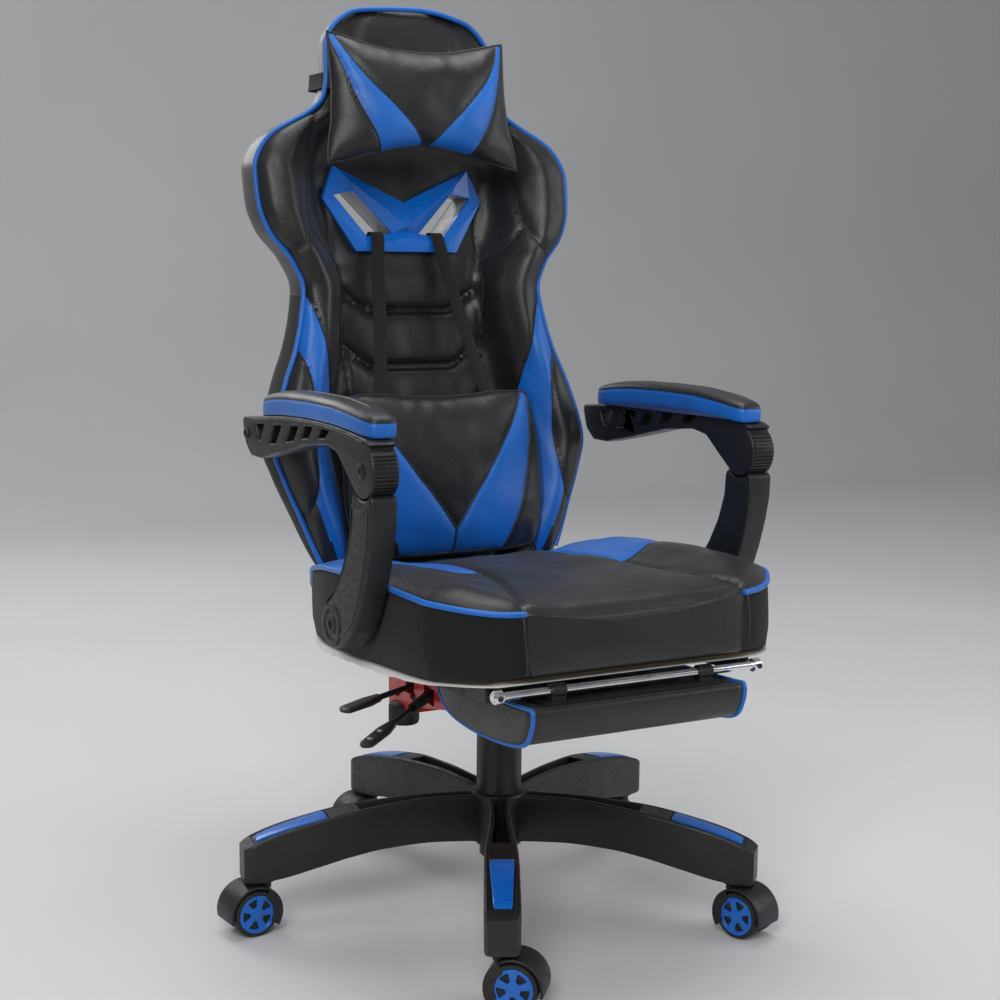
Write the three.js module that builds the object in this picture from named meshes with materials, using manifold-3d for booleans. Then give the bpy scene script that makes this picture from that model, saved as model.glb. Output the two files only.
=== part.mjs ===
// Gaming chair: a high-back bucket recliner on a five-star base, with linked arms and a
// pull-out footrest. Millimetres, +Z up, the sitter faces -Y, X runs across the chair.
// Every sub-part is drawn about the column axis (x = y = 0, floor at z = 0); the whole
// chair is then moved so that its origin is at the bottom centre of its bounding box.
import * as THREE from 'three';
import { mergeVertices } from 'three/addons/utils/BufferGeometryUtils.js';
import Module from 'manifold-3d';

const wasm = await Module();
wasm.setup();

// ---------------------------------------------------------------- driving dimensions
const ORIGIN_SHIFT = { x: 26, y: -15 };
const GAP = 0.3;                        // clearance between pieces that touch
const DEG = Math.PI / 180;

const ARM_COUNT = 5;
const ARM_START_DEG = -27.24;           // turn of the star from "one arm straight ahead"
const STEM_RADIUS = 320;                // column axis to caster stem
const ARM_UNDERSIDE = 67;               // underside of an arm tip above the floor
const HUB_RADIUS = 34;
const HUB_TOP = 155;

const WHEEL_RADIUS = 30;
const WHEEL_WIDTH = 18;
const WHEEL_FACETS = 24;
// A wheel stands on one flat facet, so its axle is a hair lower than its radius.
const AXLE_HEIGHT = WHEEL_RADIUS * Math.cos(Math.PI / WHEEL_FACETS);
const CASTER_TRAIL = 18;                // stem axis to wheel axle
const CASTER_WEB = 11;                  // thickness of the hood between the two wheels
const CASTER_STEM = 5.5;               // radius of the swivel stem
const CASTER_HEADINGS = [-41.6, -70.7, 147.3, 180.4, 186.1];   // trail direction, degrees

const LIFT_TUBE_RADIUS = 25;
const LIFT_ROD_RADIUS = 14;
const SHROUD_RADIUS = 30;
const SHROUD_TOP = 240;

const SEAT_PITCH = 4.1;                 // seat slopes down to the rear, degrees
const SEAT_BOTTOM = 369;                // underside of the seat at the column axis
const SEAT_HALF_WIDTH = 240;
const SEAT_FRONT = -335;
const SEAT_REAR = 186;
const BOARD_THICKNESS = 12;

const TILT_PIVOT = { y: -80, z: 337 };
const RECLINE_PIVOT = { y: 212, z: 400 };

const BACK_FOOT = { y: 178.6, z: 466.6 };   // a point on the plane of the backrest's piping
const BACK_SLOPE = 0.169;                   // rearward lean per unit of height
const BACK_BOTTOM = 433;
const BACK_TOP = 1201;
const PANEL_DEPTH = 58;                     // centre panel sits this far behind the piping

const ARM_INNER = 244;
const ARM_OUTER = 278;
const ARM_FOOT = { y: -92, z: 424 };        // lower bolt of the arm, on the seat's side
const ARM_ELBOW = { y: -180, z: 618 };
const ARM_REAR_BOLT = { y: 200, z: 630 };

const BAR = { y: -320, z: 378, radius: 5, halfLength: 172 };   // chrome footrest bar
const RAIL_X = 172;

// ---------------------------------------------------------------- materials
const paint = (color, roughness, metalness = 0) =>
  new THREE.MeshStandardMaterial({ color, roughness, metalness });
const NYLON = paint(0x1b1c1e, 0.55);
const BLUE_PLASTIC = paint(0x0b55c4, 0.4);
const RUBBER = paint(0x141414, 0.8);
const BLACK_STEEL = paint(0x18181a, 0.45, 0.6);
const RED_STEEL = paint(0xc0261c, 0.4, 0.3);
const CHROME = paint(0xd8dadd, 0.12, 1);
const LEATHER = paint(0x1a1a1b, 0.45);
const BLUE_LEATHER = paint(0x0a5bd0, 0.45);
const WEBBING = paint(0x121213, 0.9);
const LINER = paint(0xe8e8e6, 0.9);
const PLYWOOD = paint(0xb58f5c, 0.7);

// ---------------------------------------------------------------- geometry helpers
const part = new THREE.Group();
part.position.set(ORIGIN_SHIFT.x, ORIGIN_SHIFT.y, 0);

const seatFrame = new THREE.Group();       // everything bolted square to the seat board
seatFrame.position.z = SEAT_BOTTOM;
seatFrame.rotation.x = -SEAT_PITCH * DEG;
part.add(seatFrame);

function addMesh(name, geometry, material, parent = part) {
  const mesh = new THREE.Mesh(geometry, material);
  mesh.name = name;
  parent.add(mesh);
  return mesh;
}

function toSolid(geometry) {
  const bare = geometry.clone();
  bare.deleteAttribute('normal');
  bare.deleteAttribute('uv');
  const merged = mergeVertices(bare, 1e-3);
  return new wasm.Manifold(new wasm.Mesh({
    numProp: 3,
    vertProperties: new Float32Array(merged.attributes.position.array),
    triVerts: new Uint32Array(merged.index.array),
  }));
}

function toGeometry(solid) {
  const mesh = solid.getMesh();
  const geometry = new THREE.BufferGeometry();
  geometry.setAttribute('position', new THREE.BufferAttribute(mesh.vertProperties, 3));
  geometry.setIndex(new THREE.BufferAttribute(mesh.triVerts, 1));
  geometry.computeVertexNormals();
  return geometry;
}

// Joins the first list of geometries and cuts the second list away.
function build(joined, cut = []) {
  let solid = toSolid(joined[0]);
  for (const piece of joined.slice(1)) solid = solid.add(toSolid(piece));
  for (const piece of cut) solid = solid.subtract(toSolid(piece));
  return toGeometry(solid);
}

const outline = (points) => new THREE.Shape(points.map(([u, v]) => new THREE.Vector2(u, v)));

// A smooth closed outline through a few points.
function softOutline(points, steps) {
  const loop = points.map(([u, v]) => new THREE.Vector3(u, v, 0));
  const curve = new THREE.CatmullRomCurve3(loop, true, 'centripetal');
  return new THREE.Shape(curve.getPoints(steps).slice(0, -1).map((p) => new THREE.Vector2(p.x, p.y)));
}

const extrude = (shape, depth) =>
  new THREE.ExtrudeGeometry(shape, { depth, bevelEnabled: false, curveSegments: 6 });

// Outline drawn in (y, z), standing between x0 and x1.
function acrossX(shape, x0, x1) {
  const geometry = extrude(shape, x1 - x0);
  const basis = new THREE.Matrix4().makeBasis(
    new THREE.Vector3(0, 1, 0), new THREE.Vector3(0, 0, 1), new THREE.Vector3(1, 0, 0));
  return geometry.applyMatrix4(basis).translate(x0, 0, 0);
}

// Outline drawn in (x, y), standing between z0 and z1.
const acrossZ = (shape, z0, z1) => extrude(shape, z1 - z0).translate(0, 0, z0);

// Outline drawn in (x, z), standing between y0 and y1.
function acrossY(shape, y0, y1) {
  const geometry = extrude(shape, y1 - y0);
  return geometry.rotateX(Math.PI / 2).translate(0, y1, 0);
}

function rodX(radius, x0, x1, y, z, facets = 20) {
  return new THREE.CylinderGeometry(radius, radius, x1 - x0, facets)
    .rotateZ(Math.PI / 2).translate((x0 + x1) / 2, y, z);
}

function rodZ(radius, z0, z1, x = 0, y = 0, facets = 24) {
  return new THREE.CylinderGeometry(radius, radius, z1 - z0, facets)
    .rotateX(Math.PI / 2).translate(x, y, (z0 + z1) / 2);
}

function disc(y, z, radius, steps = 20) {
  const shape = new THREE.Shape();
  shape.absarc(y, z, radius, 0, 2 * Math.PI, false);
  return new THREE.Shape(shape.getPoints(steps / 2).slice(0, -1));
}

// Skins a row of flat rings that share a point count; both ends are closed.
function loft(rings) {
  const count = rings[0].length;
  const positions = rings.flat().flatMap((p) => [p.x, p.y, p.z]);
  const index = [];
  for (let i = 0; i + 1 < rings.length; i += 1) {
    for (let j = 0; j < count; j += 1) {
      const a = i * count + j;
      const b = i * count + ((j + 1) % count);
      index.push(a, b, b + count, a, b + count, a + count);
    }
  }
  const last = (rings.length - 1) * count;
  for (const [a, b, c] of capTriangles(rings[0])) index.push(c, b, a);
  for (const [a, b, c] of capTriangles(rings.at(-1))) index.push(last + a, last + b, last + c);
  const geometry = new THREE.BufferGeometry();
  geometry.setAttribute('position', new THREE.Float32BufferAttribute(positions, 3));
  geometry.setIndex(signedVolume(positions, index) < 0 ? index.reverse() : index);
  geometry.computeVertexNormals();
  return geometry;
}

function capTriangles(ring) {
  const normal = new THREE.Vector3();
  ring.forEach((p, i) => normal.add(p.clone().cross(ring[(i + 1) % ring.length])));
  const across = ring[1].clone().sub(ring[0]).normalize();
  const up = normal.normalize().clone().cross(across);
  const flat = ring.map((p) => new THREE.Vector2(p.dot(across), p.dot(up)));
  return THREE.ShapeUtils.triangulateShape(flat, []);
}

function signedVolume(positions, index) {
  const corner = (k) => new THREE.Vector3().fromArray(positions, index[k] * 3);
  let sum = 0;
  for (let k = 0; k < index.length; k += 3) {
    sum += corner(k).dot(corner(k + 1).cross(corner(k + 2)));
  }
  return sum;
}

// Straight-line look-up in a table of [position, value] rows.
function lookUp(table, at) {
  const next = table.findIndex(([position]) => position >= at);
  if (next <= 0) return next === 0 ? table[0][1] : table.at(-1)[1];
  const [p0, v0] = table[next - 1];
  const [p1, v1] = table[next];
  return v0 + ((v1 - v0) * (at - p0)) / (p1 - p0);
}

// Rounded box section: a superellipse with half sizes a and b.
function superellipse(a, b, power, count) {
  const round = (value) => Math.sign(value) * Math.abs(value) ** (2 / power);
  return Array.from({ length: count }, (_, i) => {
    const angle = (2 * Math.PI * i) / count;
    return [a * round(Math.cos(angle)), b * round(Math.sin(angle))];
  });
}

// ---------------------------------------------------------------- star base
// Along an arm: distance from the column, bottom, top, half width.
const ARM_STATIONS = [
  [18, 88, 152, 13], [60, 92, 154.5, 13], [110, 95, 155.5, 14], [160, 94, 153, 17],
  [205, 89, 149, 20.5], [250, 80, 141.5, 21.5], [300, 70, 130.5, 21.5], [332, 67, 119.5, 21.5],
  [345, 69, 113, 18],
];

function starArm() {
  const rings = ARM_STATIONS.map(([r, low, high, half]) =>
    [[-half, low], [half, low], [half, high - 3], [half - 4, high], [4 - half, high], [-half, high - 3]]
      .map(([x, z]) => new THREE.Vector3(x, -r, z)));
  return loft(rings);
}

// Recess between the two side walls of an arm, near the hub.
function armChannel() {
  const floor = 122;
  const right = [[6.5, -38], [7, -110], [10, -160], [13, -196]];
  const left = right.map(([x, y]) => [-x, y]).reverse();
  return acrossZ(outline([...right, ...left].reverse()), floor, 170);
}

// Sloping bed of the blue insert; grow widens it into the pocket that holds the insert.
function insertBody(grow, rise) {
  const near = { r: 236 - grow, half: 13.5 + grow };
  const far = { r: 330 + grow, half: 9 + grow };
  const bedHeight = (r) => lookUp(ARM_STATIONS.map(([at, , high]) => [at, high]), r) - 3 - grow;
  const rings = [near, far].map(({ r, half }) => {
    const low = bedHeight(r);
    return [[-half, low], [half, low], [half, low + rise], [-half, low + rise]]
      .map(([x, z]) => new THREE.Vector3(x, -r, z));
  });
  return loft(rings);
}

const armAngle = (index) => (ARM_START_DEG + (360 / ARM_COUNT) * index) * DEG;

function stemPosition(index) {
  const angle = armAngle(index);
  return new THREE.Vector3(STEM_RADIUS * Math.sin(angle), -STEM_RADIUS * Math.cos(angle), 0);
}

function addBase() {
  const hub = rodZ(HUB_RADIUS, 84, HUB_TOP, 0, 0, 32);
  const joined = [hub];
  const cut = [rodZ(LIFT_TUBE_RADIUS + GAP, 60, HUB_TOP + 10, 0, 0, 32)];
  for (let i = 0; i < ARM_COUNT; i += 1) {
    const turn = armAngle(i);
    joined.push(starArm().rotateZ(turn));
    cut.push(armChannel().rotateZ(turn));
    cut.push(insertBody(GAP, 20).rotateZ(turn));
    const stem = stemPosition(i);
    cut.push(rodZ(CASTER_STEM + 0.5, 50, 104, stem.x, stem.y, 20));
    addMesh(`base_insert_${i + 1}`, insertBody(0, 3.4).rotateZ(turn), BLUE_PLASTIC);
  }
  addMesh('star_base', build(joined, cut), NYLON);
}

// ---------------------------------------------------------------- casters
// Drawn with the stem at the origin and the wheels trailing towards +X.
function casterHood() {
  const wheelTop = WHEEL_RADIUS + 1.6;
  const shell = new THREE.Shape();
  shell.absarc(CASTER_TRAIL, WHEEL_RADIUS, wheelTop + 2.6, -8 * DEG, 196 * DEG, false);
  shell.absarc(CASTER_TRAIL, WHEEL_RADIUS, wheelTop, 196 * DEG, -8 * DEG, true);
  const toPlan = (shape, half) => acrossY(new THREE.Shape(shape.getPoints(7)), -half, half);
  const web = new THREE.Shape();
  web.absarc(CASTER_TRAIL, WHEEL_RADIUS, wheelTop + 0.5, 0, Math.PI, false);
  web.lineTo(CASTER_TRAIL - 14, WHEEL_RADIUS - 10);
  web.lineTo(CASTER_TRAIL + 14, WHEEL_RADIUS - 10);
  const boss = rodZ(10, 56, ARM_UNDERSIDE - GAP, 0, 0, 16);
  const stem = rodZ(CASTER_STEM, 56, 102, 0, 0, 16);
  const axle = new THREE.CylinderGeometry(4, 4, CASTER_WEB + 2 * WHEEL_WIDTH - 8, 12)
    .translate(CASTER_TRAIL, 0, AXLE_HEIGHT);
  const half = CASTER_WEB / 2;
  const wheelRoom = [-1, 1].map((side) => new THREE.CylinderGeometry(wheelTop, wheelTop, 30, 20)
    .translate(CASTER_TRAIL, side * (half + 15), WHEEL_RADIUS));
  const bare = build([toPlan(web, half), toPlan(shell, half + WHEEL_WIDTH - 3), boss, stem], wheelRoom);
  return build([bare, axle]);
}

function casterWheel(side) {
  const offset = side * (CASTER_WEB / 2 + 0.6 + WHEEL_WIDTH / 2);
  const profile = [[4.4, -9], [26.5, -9], [WHEEL_RADIUS, -6.5], [WHEEL_RADIUS, 6.5], [26.5, 9], [0, 9],
    [0, 5], [4.4, 5], [4.4, -9]].map(([r, y]) => new THREE.Vector2(r, y));
  const wheel = new THREE.LatheGeometry(profile, WHEEL_FACETS);
  wheel.rotateY(Math.PI / WHEEL_FACETS);
  if (side < 0) wheel.rotateX(Math.PI);
  return wheel.translate(CASTER_TRAIL, offset, AXLE_HEIGHT);
}

function addCasters() {
  for (let i = 0; i < ARM_COUNT; i += 1) {
    const stem = stemPosition(i);
    const place = (geometry) => geometry.rotateZ(CASTER_HEADINGS[i] * DEG).translate(stem.x, stem.y, 0);
    addMesh(`caster_hood_${i + 1}`, place(casterHood()), NYLON);
    addMesh(`caster_wheel_${i + 1}a`, place(casterWheel(-1)), RUBBER);
    addMesh(`caster_wheel_${i + 1}b`, place(casterWheel(1)), RUBBER);
  }
}

// ---------------------------------------------------------------- column
function tube(outer, inner, z0, z1) {
  const profile = [[inner, z0], [outer, z0], [outer, z1], [inner, z1], [inner, z0]];
  return new THREE.LatheGeometry(profile.map(([r, z]) => new THREE.Vector2(r, z)), 32).rotateX(Math.PI / 2);
}

function addColumn() {
  const r = LIFT_TUBE_RADIUS;
  const bore = LIFT_ROD_RADIUS + GAP;
  const profile = [[0, 66], [r, 66], [r, 234], [bore, 234], [bore, 84], [0, 84]];
  const cylinder = new THREE.LatheGeometry(profile.map(([x, z]) => new THREE.Vector2(x, z)), 32);
  addMesh('gas_lift_cylinder', cylinder.rotateX(Math.PI / 2), BLACK_STEEL);
  addMesh('gas_lift_rod', rodZ(LIFT_ROD_RADIUS, 92, 300, 0, 0, 28), CHROME);
  addMesh('shroud_lower', tube(SHROUD_RADIUS, SHROUD_RADIUS - 2, HUB_TOP + GAP, SHROUD_TOP), NYLON);
  addMesh('shroud_upper', tube(SHROUD_RADIUS - 2.4, r + 0.4, 158, 266), NYLON);
}

// ---------------------------------------------------------------- tilt mechanism
function addMechanism() {
  const profile = [
    [-98, 316], [-98, 292], [20, 269], [112, 250], [120, 238], [178, 238], [180, 286], [150, 299],
  ];
  const side = outline(profile.reverse());
  const lugs = [-1, 1].map((s) => acrossX(disc(TILT_PIVOT.y, TILT_PIVOT.z, 14), s * 70 - 6, s * 70 + 6));
  const web = outline([[-96, 300], [-60, 300], [-66, 336], [-94, 336]]);
  const webs = [-1, 1].map((s) => acrossX(web, s * 70 - 6, s * 70 + 6));
  const shaft = rodX(6, -92, 92, TILT_PIVOT.y, TILT_PIVOT.z, 16);
  const rodSocket = rodZ(LIFT_ROD_RADIUS + GAP, 230, 300 + GAP, 0, 0, 28);
  const knobSocket = rodZ(7 + GAP, 230, 250, -72, 146, 16);
  const levers = LEVERS.map((lever) => leverSocket(lever));
  const body = [acrossX(side, -80, 80), ...lugs, ...webs, shaft];
  const housing = build(body, [rodSocket, knobSocket, ...levers]);
  addMesh('mechanism_housing', housing, RED_STEEL);

  const cap = [[0, 219], [17, 219], [21, 222], [21, 229], [16, 232], [7, 232], [7, 249], [0, 249]];
  const knob = new THREE.LatheGeometry(cap.map(([r, z]) => new THREE.Vector2(r, z)), 20).rotateX(Math.PI / 2);
  addMesh('tension_knob', knob.translate(-72, 146, 0), NYLON);
}

// Each lever runs straight from its socket in the housing to its paddle tip.
const LEVERS = [
  { name: 'lift_lever', root: [-70, 112, 281], tip: [-188, 92, 262], paddle: 60, half: 13 },
  { name: 'recline_lever', root: [-66, 60, 284], tip: [-214, -40, 252], paddle: 72, half: 10 },
];

function leverFrame({ root, tip }) {
  const start = new THREE.Vector3(...root);
  const along = new THREE.Vector3(...tip).sub(start);
  const length = along.length();
  const x = along.normalize();
  const y = new THREE.Vector3(0, 0, 1).cross(x).normalize();
  const z = x.clone().cross(y);
  return { length, matrix: new THREE.Matrix4().makeBasis(x, y, z).setPosition(start) };
}

function leverSocket(lever) {
  const { matrix } = leverFrame(lever);
  return new THREE.BoxGeometry(60, 26, 22).translate(22, 0, 0).applyMatrix4(matrix);
}

function addLevers() {
  for (const lever of LEVERS) {
    const { length, matrix } = leverFrame(lever);
    const rod = new THREE.CylinderGeometry(4, 4, length - 20, 12);
    rod.rotateZ(Math.PI / 2).translate(length / 2 - 10, 0, 0);
    const start = length - lever.paddle;
    const rings = [[start, 6, 5], [start + 16, lever.half * 0.8, 5.5], [length - 16, lever.half, 4.5],
      [length - 3, lever.half * 0.85, 3.5], [length, lever.half * 0.6, 2]]
      .map(([x, a, b]) => superellipse(a, b, 3, 12).map(([v, w]) => new THREE.Vector3(x, v, w)));
    addMesh(lever.name, build([rod, loft(rings)]).applyMatrix4(matrix), NYLON);
  }
}

// ---------------------------------------------------------------- seat
function addTiltPlate() {
  const plate = new THREE.BoxGeometry(196, 224, 4).translate(0, 18, -3.1);
  const earOutline = outline([[-94, 326], [-66, 326], [-44, 369], [-116, 373]]);
  const ear = (s) => acrossX(earOutline, s * 84 - 4, s * 84 + 4);
  const toWorld = (geometry) => geometry.rotateX(-SEAT_PITCH * DEG).translate(0, 0, SEAT_BOTTOM);
  const hole = rodX(6 + GAP, -100, 100, TILT_PIVOT.y, TILT_PIVOT.z, 16);
  addMesh('tilt_plate', build([toWorld(plate), ear(-1), ear(1)], [hole]), BLACK_STEEL);
}

function roundedPlan(halfWidth, front, rear, frontRound, rearRound) {
  const shape = new THREE.Shape();
  shape.moveTo(-halfWidth + rearRound, rear);
  shape.quadraticCurveTo(-halfWidth, rear, -halfWidth, rear - rearRound * 2);
  shape.lineTo(-halfWidth, front + frontRound);
  shape.quadraticCurveTo(-halfWidth, front, -halfWidth + frontRound * 1.1, front);
  shape.lineTo(halfWidth - frontRound * 1.1, front);
  shape.quadraticCurveTo(halfWidth, front, halfWidth, front + frontRound);
  shape.lineTo(halfWidth, rear - rearRound * 2);
  shape.quadraticCurveTo(halfWidth, rear, halfWidth - rearRound, rear);
  return new THREE.Shape(shape.getPoints(6).slice(0, -1));
}

// Seat cushion, front to rear: y, half width, height of the side piping, crown height.
const SEAT_STATIONS = [
  [-336, 150, 60, 68], [-330, 172, 74, 80], [-315, 196, 80, 90], [-290, 218, 85, 98], [-257, 236, 90, 104],
  [-190, 240, 96, 110], [-90, 240, 104, 114], [10, 238, 104, 112], [90, 226, 96, 100], [140, 208, 78, 82],
  [170, 196, 64, 68], [186, 186, 54, 58],
];

function seatSection([y, half, edge, crown]) {
  const inset = y < -320 ? 8 : 2;
  const ridge = half * 0.82;
  const dish = crown - 10;
  const right = [
    [half - 8, inset], [half, 22], [half, edge - 14], [half - 6, edge],
    [ridge, crown], [half * 0.6, dish + 1],
  ];
  const left = right.map(([x, z]) => [-x, z]).reverse();
  return [...right, [0, dish], ...left].map(([x, z]) => new THREE.Vector3(x, y, z));
}

function addSeat() {
  const board = roundedPlan(218, SEAT_FRONT + 18, SEAT_REAR - 14, 70, 40);
  addMesh('seat_board', acrossZ(board, 0, BOARD_THICKNESS), PLYWOOD, seatFrame);
  const liner = roundedPlan(232, SEAT_FRONT + 8, SEAT_REAR - 8, 76, 42);
  addMesh('seat_liner', acrossZ(liner, -1.0, -0.2), LINER, seatFrame);
  const pocket = roundedPlan(218.4, SEAT_FRONT + 17.6, SEAT_REAR - 13.6, 70, 40);
  const recess = acrossZ(pocket, -10, BOARD_THICKNESS + GAP);
  const cushion = build([loft(SEAT_STATIONS.map(seatSection))], [recess]);
  addMesh('seat_cushion', cushion, LEATHER, seatFrame);
}

function addReclineBrackets() {
  const p = RECLINE_PIVOT;
  for (const [suffix, side] of [['l', -1], ['r', 1]]) {
    const x0 = side * 121 - 3;
    const lower = outline([
      [60, 361.3], [60, 345], [196, 330], [226, 388], [226, 404], [198, 404], [192, 352.5],
    ]);
    const flange = new THREE.BoxGeometry(34, 110, 4).translate(side * 135, 116, -3.1)
      .rotateX(-SEAT_PITCH * DEG).translate(0, 0, SEAT_BOTTOM);
    const pin = rodX(6, side * 127.5 - 7.5, side * 127.5 + 7.5, p.y, p.z, 16);
    const seatEye = acrossX(disc(p.y, p.z, 15), x0, x0 + 6);
    const seatSide = build([acrossX(lower, x0, x0 + 6), seatEye, flange, pin]);
    addMesh(`seat_bracket_${suffix}`, seatSide, BLACK_STEEL);

    const limb = [450, 500, 560, 620].map((z) => [backY(z) + rearDepth(z, 128) + 4, z]);
    const rearEdge = limb.map(([y, z]) => [y + 12, z]).reverse();
    const upper = outline([
      [202, 396], [222, 392], [262, 424], ...rearEdge.reverse(), ...limb.reverse(), [244, 426], [206, 412],
    ]);
    const x1 = side * 128 - 3;
    const backSide = build([acrossX(upper, x1, x1 + 6), acrossX(disc(p.y, p.z, 15), x1, x1 + 6)],
      [rodX(6 + GAP, side * 128 - 10, side * 128 + 10, p.y, p.z, 16)]);
    addMesh(`back_bracket_${suffix}`, backSide, BLACK_STEEL);
  }
}

// ---------------------------------------------------------------- backrest
const backY = (z) => BACK_FOOT.y + BACK_SLOPE * (z - BACK_FOOT.z);

// Half width of the backrest's outline at each height.
const BACK_WIDTH = [
  [433, 176], [450, 185], [506, 207], [560, 228], [600, 240], [640, 232], [690, 216], [735, 198], [784, 186],
  [815, 182], [854, 197], [892, 226], [930, 238], [975, 240], [1000, 231], [1021, 213], [1036, 188],
  [1052, 158], [1072, 136], [1100, 128], [1150, 125], [1178, 108], [1191, 88], [1201, 52],
];
// Depth of the rear skin behind the piping, at the centre line.
const BACK_DEPTH = [[433, 62], [500, 88], [600, 104], [700, 106], [800, 100], [900, 106], [985, 104],
  [1040, 84], [1072, 62], [1120, 52], [1180, 46], [1201, 34]];
// Depth of the centre panel behind the piping.
const BACK_DISH = [[433, 30], [480, 42], [560, 50], [700, 54], [865, 58], [985, 58], [1030, 40], [1060, 14],
  [1080, 0], [1150, -6], [1201, 8]];
// How far the side bolsters stand in front of the piping.
const BACK_BOLSTER = [[433, 4], [500, 22], [600, 30], [700, 24], [815, 16], [900, 26], [985, 22], [1040, 10],
  [1072, 2], [1150, 4], [1201, -8]];

function rearDepth(z, x) {
  const share = Math.min(1, Math.abs(x) / lookUp(BACK_WIDTH, z));
  return lookUp(BACK_DEPTH, z) * (1 - 0.34 * share ** 2.4);
}

function backSection(z) {
  const half = lookUp(BACK_WIDTH, z);
  const dish = lookUp(BACK_DISH, z);
  const bolster = lookUp(BACK_BOLSTER, z);
  const rearEdge = rearDepth(z, half);
  const right = [
    [0.5 * half, rearDepth(z, 0.5 * half)], [0.82 * half, rearDepth(z, 0.82 * half)],
    [half - 5, rearEdge - 6], [half, rearEdge * 0.55], [half, 4], [half - 8, -bolster * 0.7],
    [half * 0.84, -bolster], [half * 0.7, dish * 0.25 - bolster * 0.5],
    [half * 0.56, dish * 0.9], [half * 0.4, dish],
  ];
  const left = right.map(([x, n]) => [-x, n]).reverse();
  const ring = [[0, rearDepth(z, 0)], ...right, [0, dish], ...left];
  return ring.map(([x, n]) => new THREE.Vector3(x, backY(z) + n, z));
}

// Corners of the right one of the two slanted openings through the upper back, x and height.
const WINDOW_CORNERS = [[107, 944], [77, 950], [21, 892], [60, 887]];

// One opening with its edges moved outwards by grow; side is -1 or 1.
function maskOpening(side, grow) {
  const count = WINDOW_CORNERS.length;
  const outward = WINDOW_CORNERS.map(([x, z], i) => {
    const [nextX, nextZ] = WINDOW_CORNERS[(i + 1) % count];
    return new THREE.Vector2(nextZ - z, x - nextX).normalize();
  });
  const points = WINDOW_CORNERS.map(([x, z], i) => {
    const before = outward[(i + count - 1) % count];
    const reach = grow / (1 + before.dot(outward[i]));
    return [side * (x + reach * (before.x + outward[i].x)), z + reach * (before.y + outward[i].y)];
  });
  return outline(side > 0 ? points : points.reverse());
}

// Outline of the trim plate round both openings, enlarged about its middle by a factor.
function trimOutline(factor) {
  const middle = 925;
  const right = [[0, 866], [40, 866], [79, 866], [125, 939], [105, 984], [52, 959.5]];
  const left = right.slice(1).map(([x, z]) => [-x, z]).reverse();
  const ring = [...right, [0, 936], ...left];
  return outline(ring.map(([x, z]) => [x * factor, middle + (z - middle) * factor]));
}

function addBackrest() {
  const heights = BACK_WIDTH.map(([z]) => z);
  const sleeves = [-1, 1].map((side) => acrossY(maskOpening(side, 2), 150, 500));
  const bed = skewToBack(acrossY(trimOutline(1.02), -90, 0), PANEL_DEPTH);
  addMesh('backrest_cushion', build([loft(heights.map(backSection))], [...sleeves, bed]), LEATHER);

  const face = skewToBack(acrossY(trimOutline(1), -11, -GAP), PANEL_DEPTH);
  const windows = [-1, 1].map((side) => skewToBack(acrossY(maskOpening(side, -1), -60, 60), PANEL_DEPTH));
  const liners = [-1, 1].map((side) => skewToBack(acrossY(maskOpening(side, 1.6), -2, 34), PANEL_DEPTH));
  addMesh('mask_trim', build([face, ...liners], windows), BLUE_PLASTIC);
}

// Moves an upright piece drawn about y = 0 so that it follows the back's lean.
function skewToBack(geometry, depth) {
  const position = geometry.attributes.position;
  for (let i = 0; i < position.count; i += 1) {
    position.setY(i, position.getY(i) + backY(position.getZ(i)) + depth);
  }
  return geometry;
}

// Head pillow, bottom to top: height, half width, thickness either side of its mid plane.
const HEAD_PILLOW = [
  [982, 142, 10], [1000, 141, 22], [1030, 134, 32], [1070, 131, 36],
  [1110, 132, 34], [1140, 133, 24], [1160, 132, 10],
];
const LUMBAR_PILLOW = [
  [458, 124, 12], [480, 143, 28], [530, 150, 38], [580, 150, 38],
  [625, 146, 34], [655, 138, 24], [668, 128, 12],
];
const HEAD_PILLOW_DEPTH = -45;              // mid plane of each pillow, behind the piping
const LUMBAR_PILLOW_DEPTH = -18;
const HEAD_PILLOW_OFFSET = -6;              // each hangs a little to one side
const LUMBAR_PILLOW_OFFSET = 6;

function pillow(stations, midDepth, offset) {
  const ring = ([z, half, thick]) => superellipse(half, thick, 2.6, 20)
    .map(([x, n]) => new THREE.Vector3(x + offset, backY(z) + midDepth + n, z));
  return loft(stations.map(ring));
}

function addPillows() {
  addMesh('head_pillow', pillow(HEAD_PILLOW, HEAD_PILLOW_DEPTH, HEAD_PILLOW_OFFSET), LEATHER);
  addMesh('lumbar_pillow', pillow(LUMBAR_PILLOW, LUMBAR_PILLOW_DEPTH, LUMBAR_PILLOW_OFFSET), LEATHER);
  addHeadBand();
  addLumbarStraps();
}

// Elastic band round the head of the backrest; it holds the head pillow.
function addHeadBand() {
  const ring = (z, grow) => superellipse(lookUp(BACK_WIDTH, z) + grow, 31 + grow, 9, 28)
    .map(([x, n]) => new THREE.Vector3(x, backY(z) + 27 + n, z));
  const outer = loft([1086, 1108].map((z) => ring(z, 4.6)));
  const inner = loft([1080, 1114].map((z) => ring(z, 3)));
  addMesh('head_band', build([outer], [inner]), WEBBING);
}

// Two straps run from the trim's lower bar down to the top of the lumbar pillow:
// height, distance from the middle and depth behind the piping.
const STRAP_ROUTE = [
  [884, 47, 40], [840, 54, 35], [798, 60, 24], [756, 66, 12], [711, 74, 2], [669.5, 81, -6],
];

function addLumbarStraps() {
  for (const [suffix, side] of [['l', -1], ['r', 1]]) {
    const rings = STRAP_ROUTE.map(([z, x, n]) => [[-9, -1], [9, -1], [9, 1], [-9, 1]].map(([u, v]) =>
      new THREE.Vector3(side * x + u, backY(z) + n + v, z)));
    addMesh(`lumbar_strap_${suffix}`, loft(rings), WEBBING);
  }
}

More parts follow.
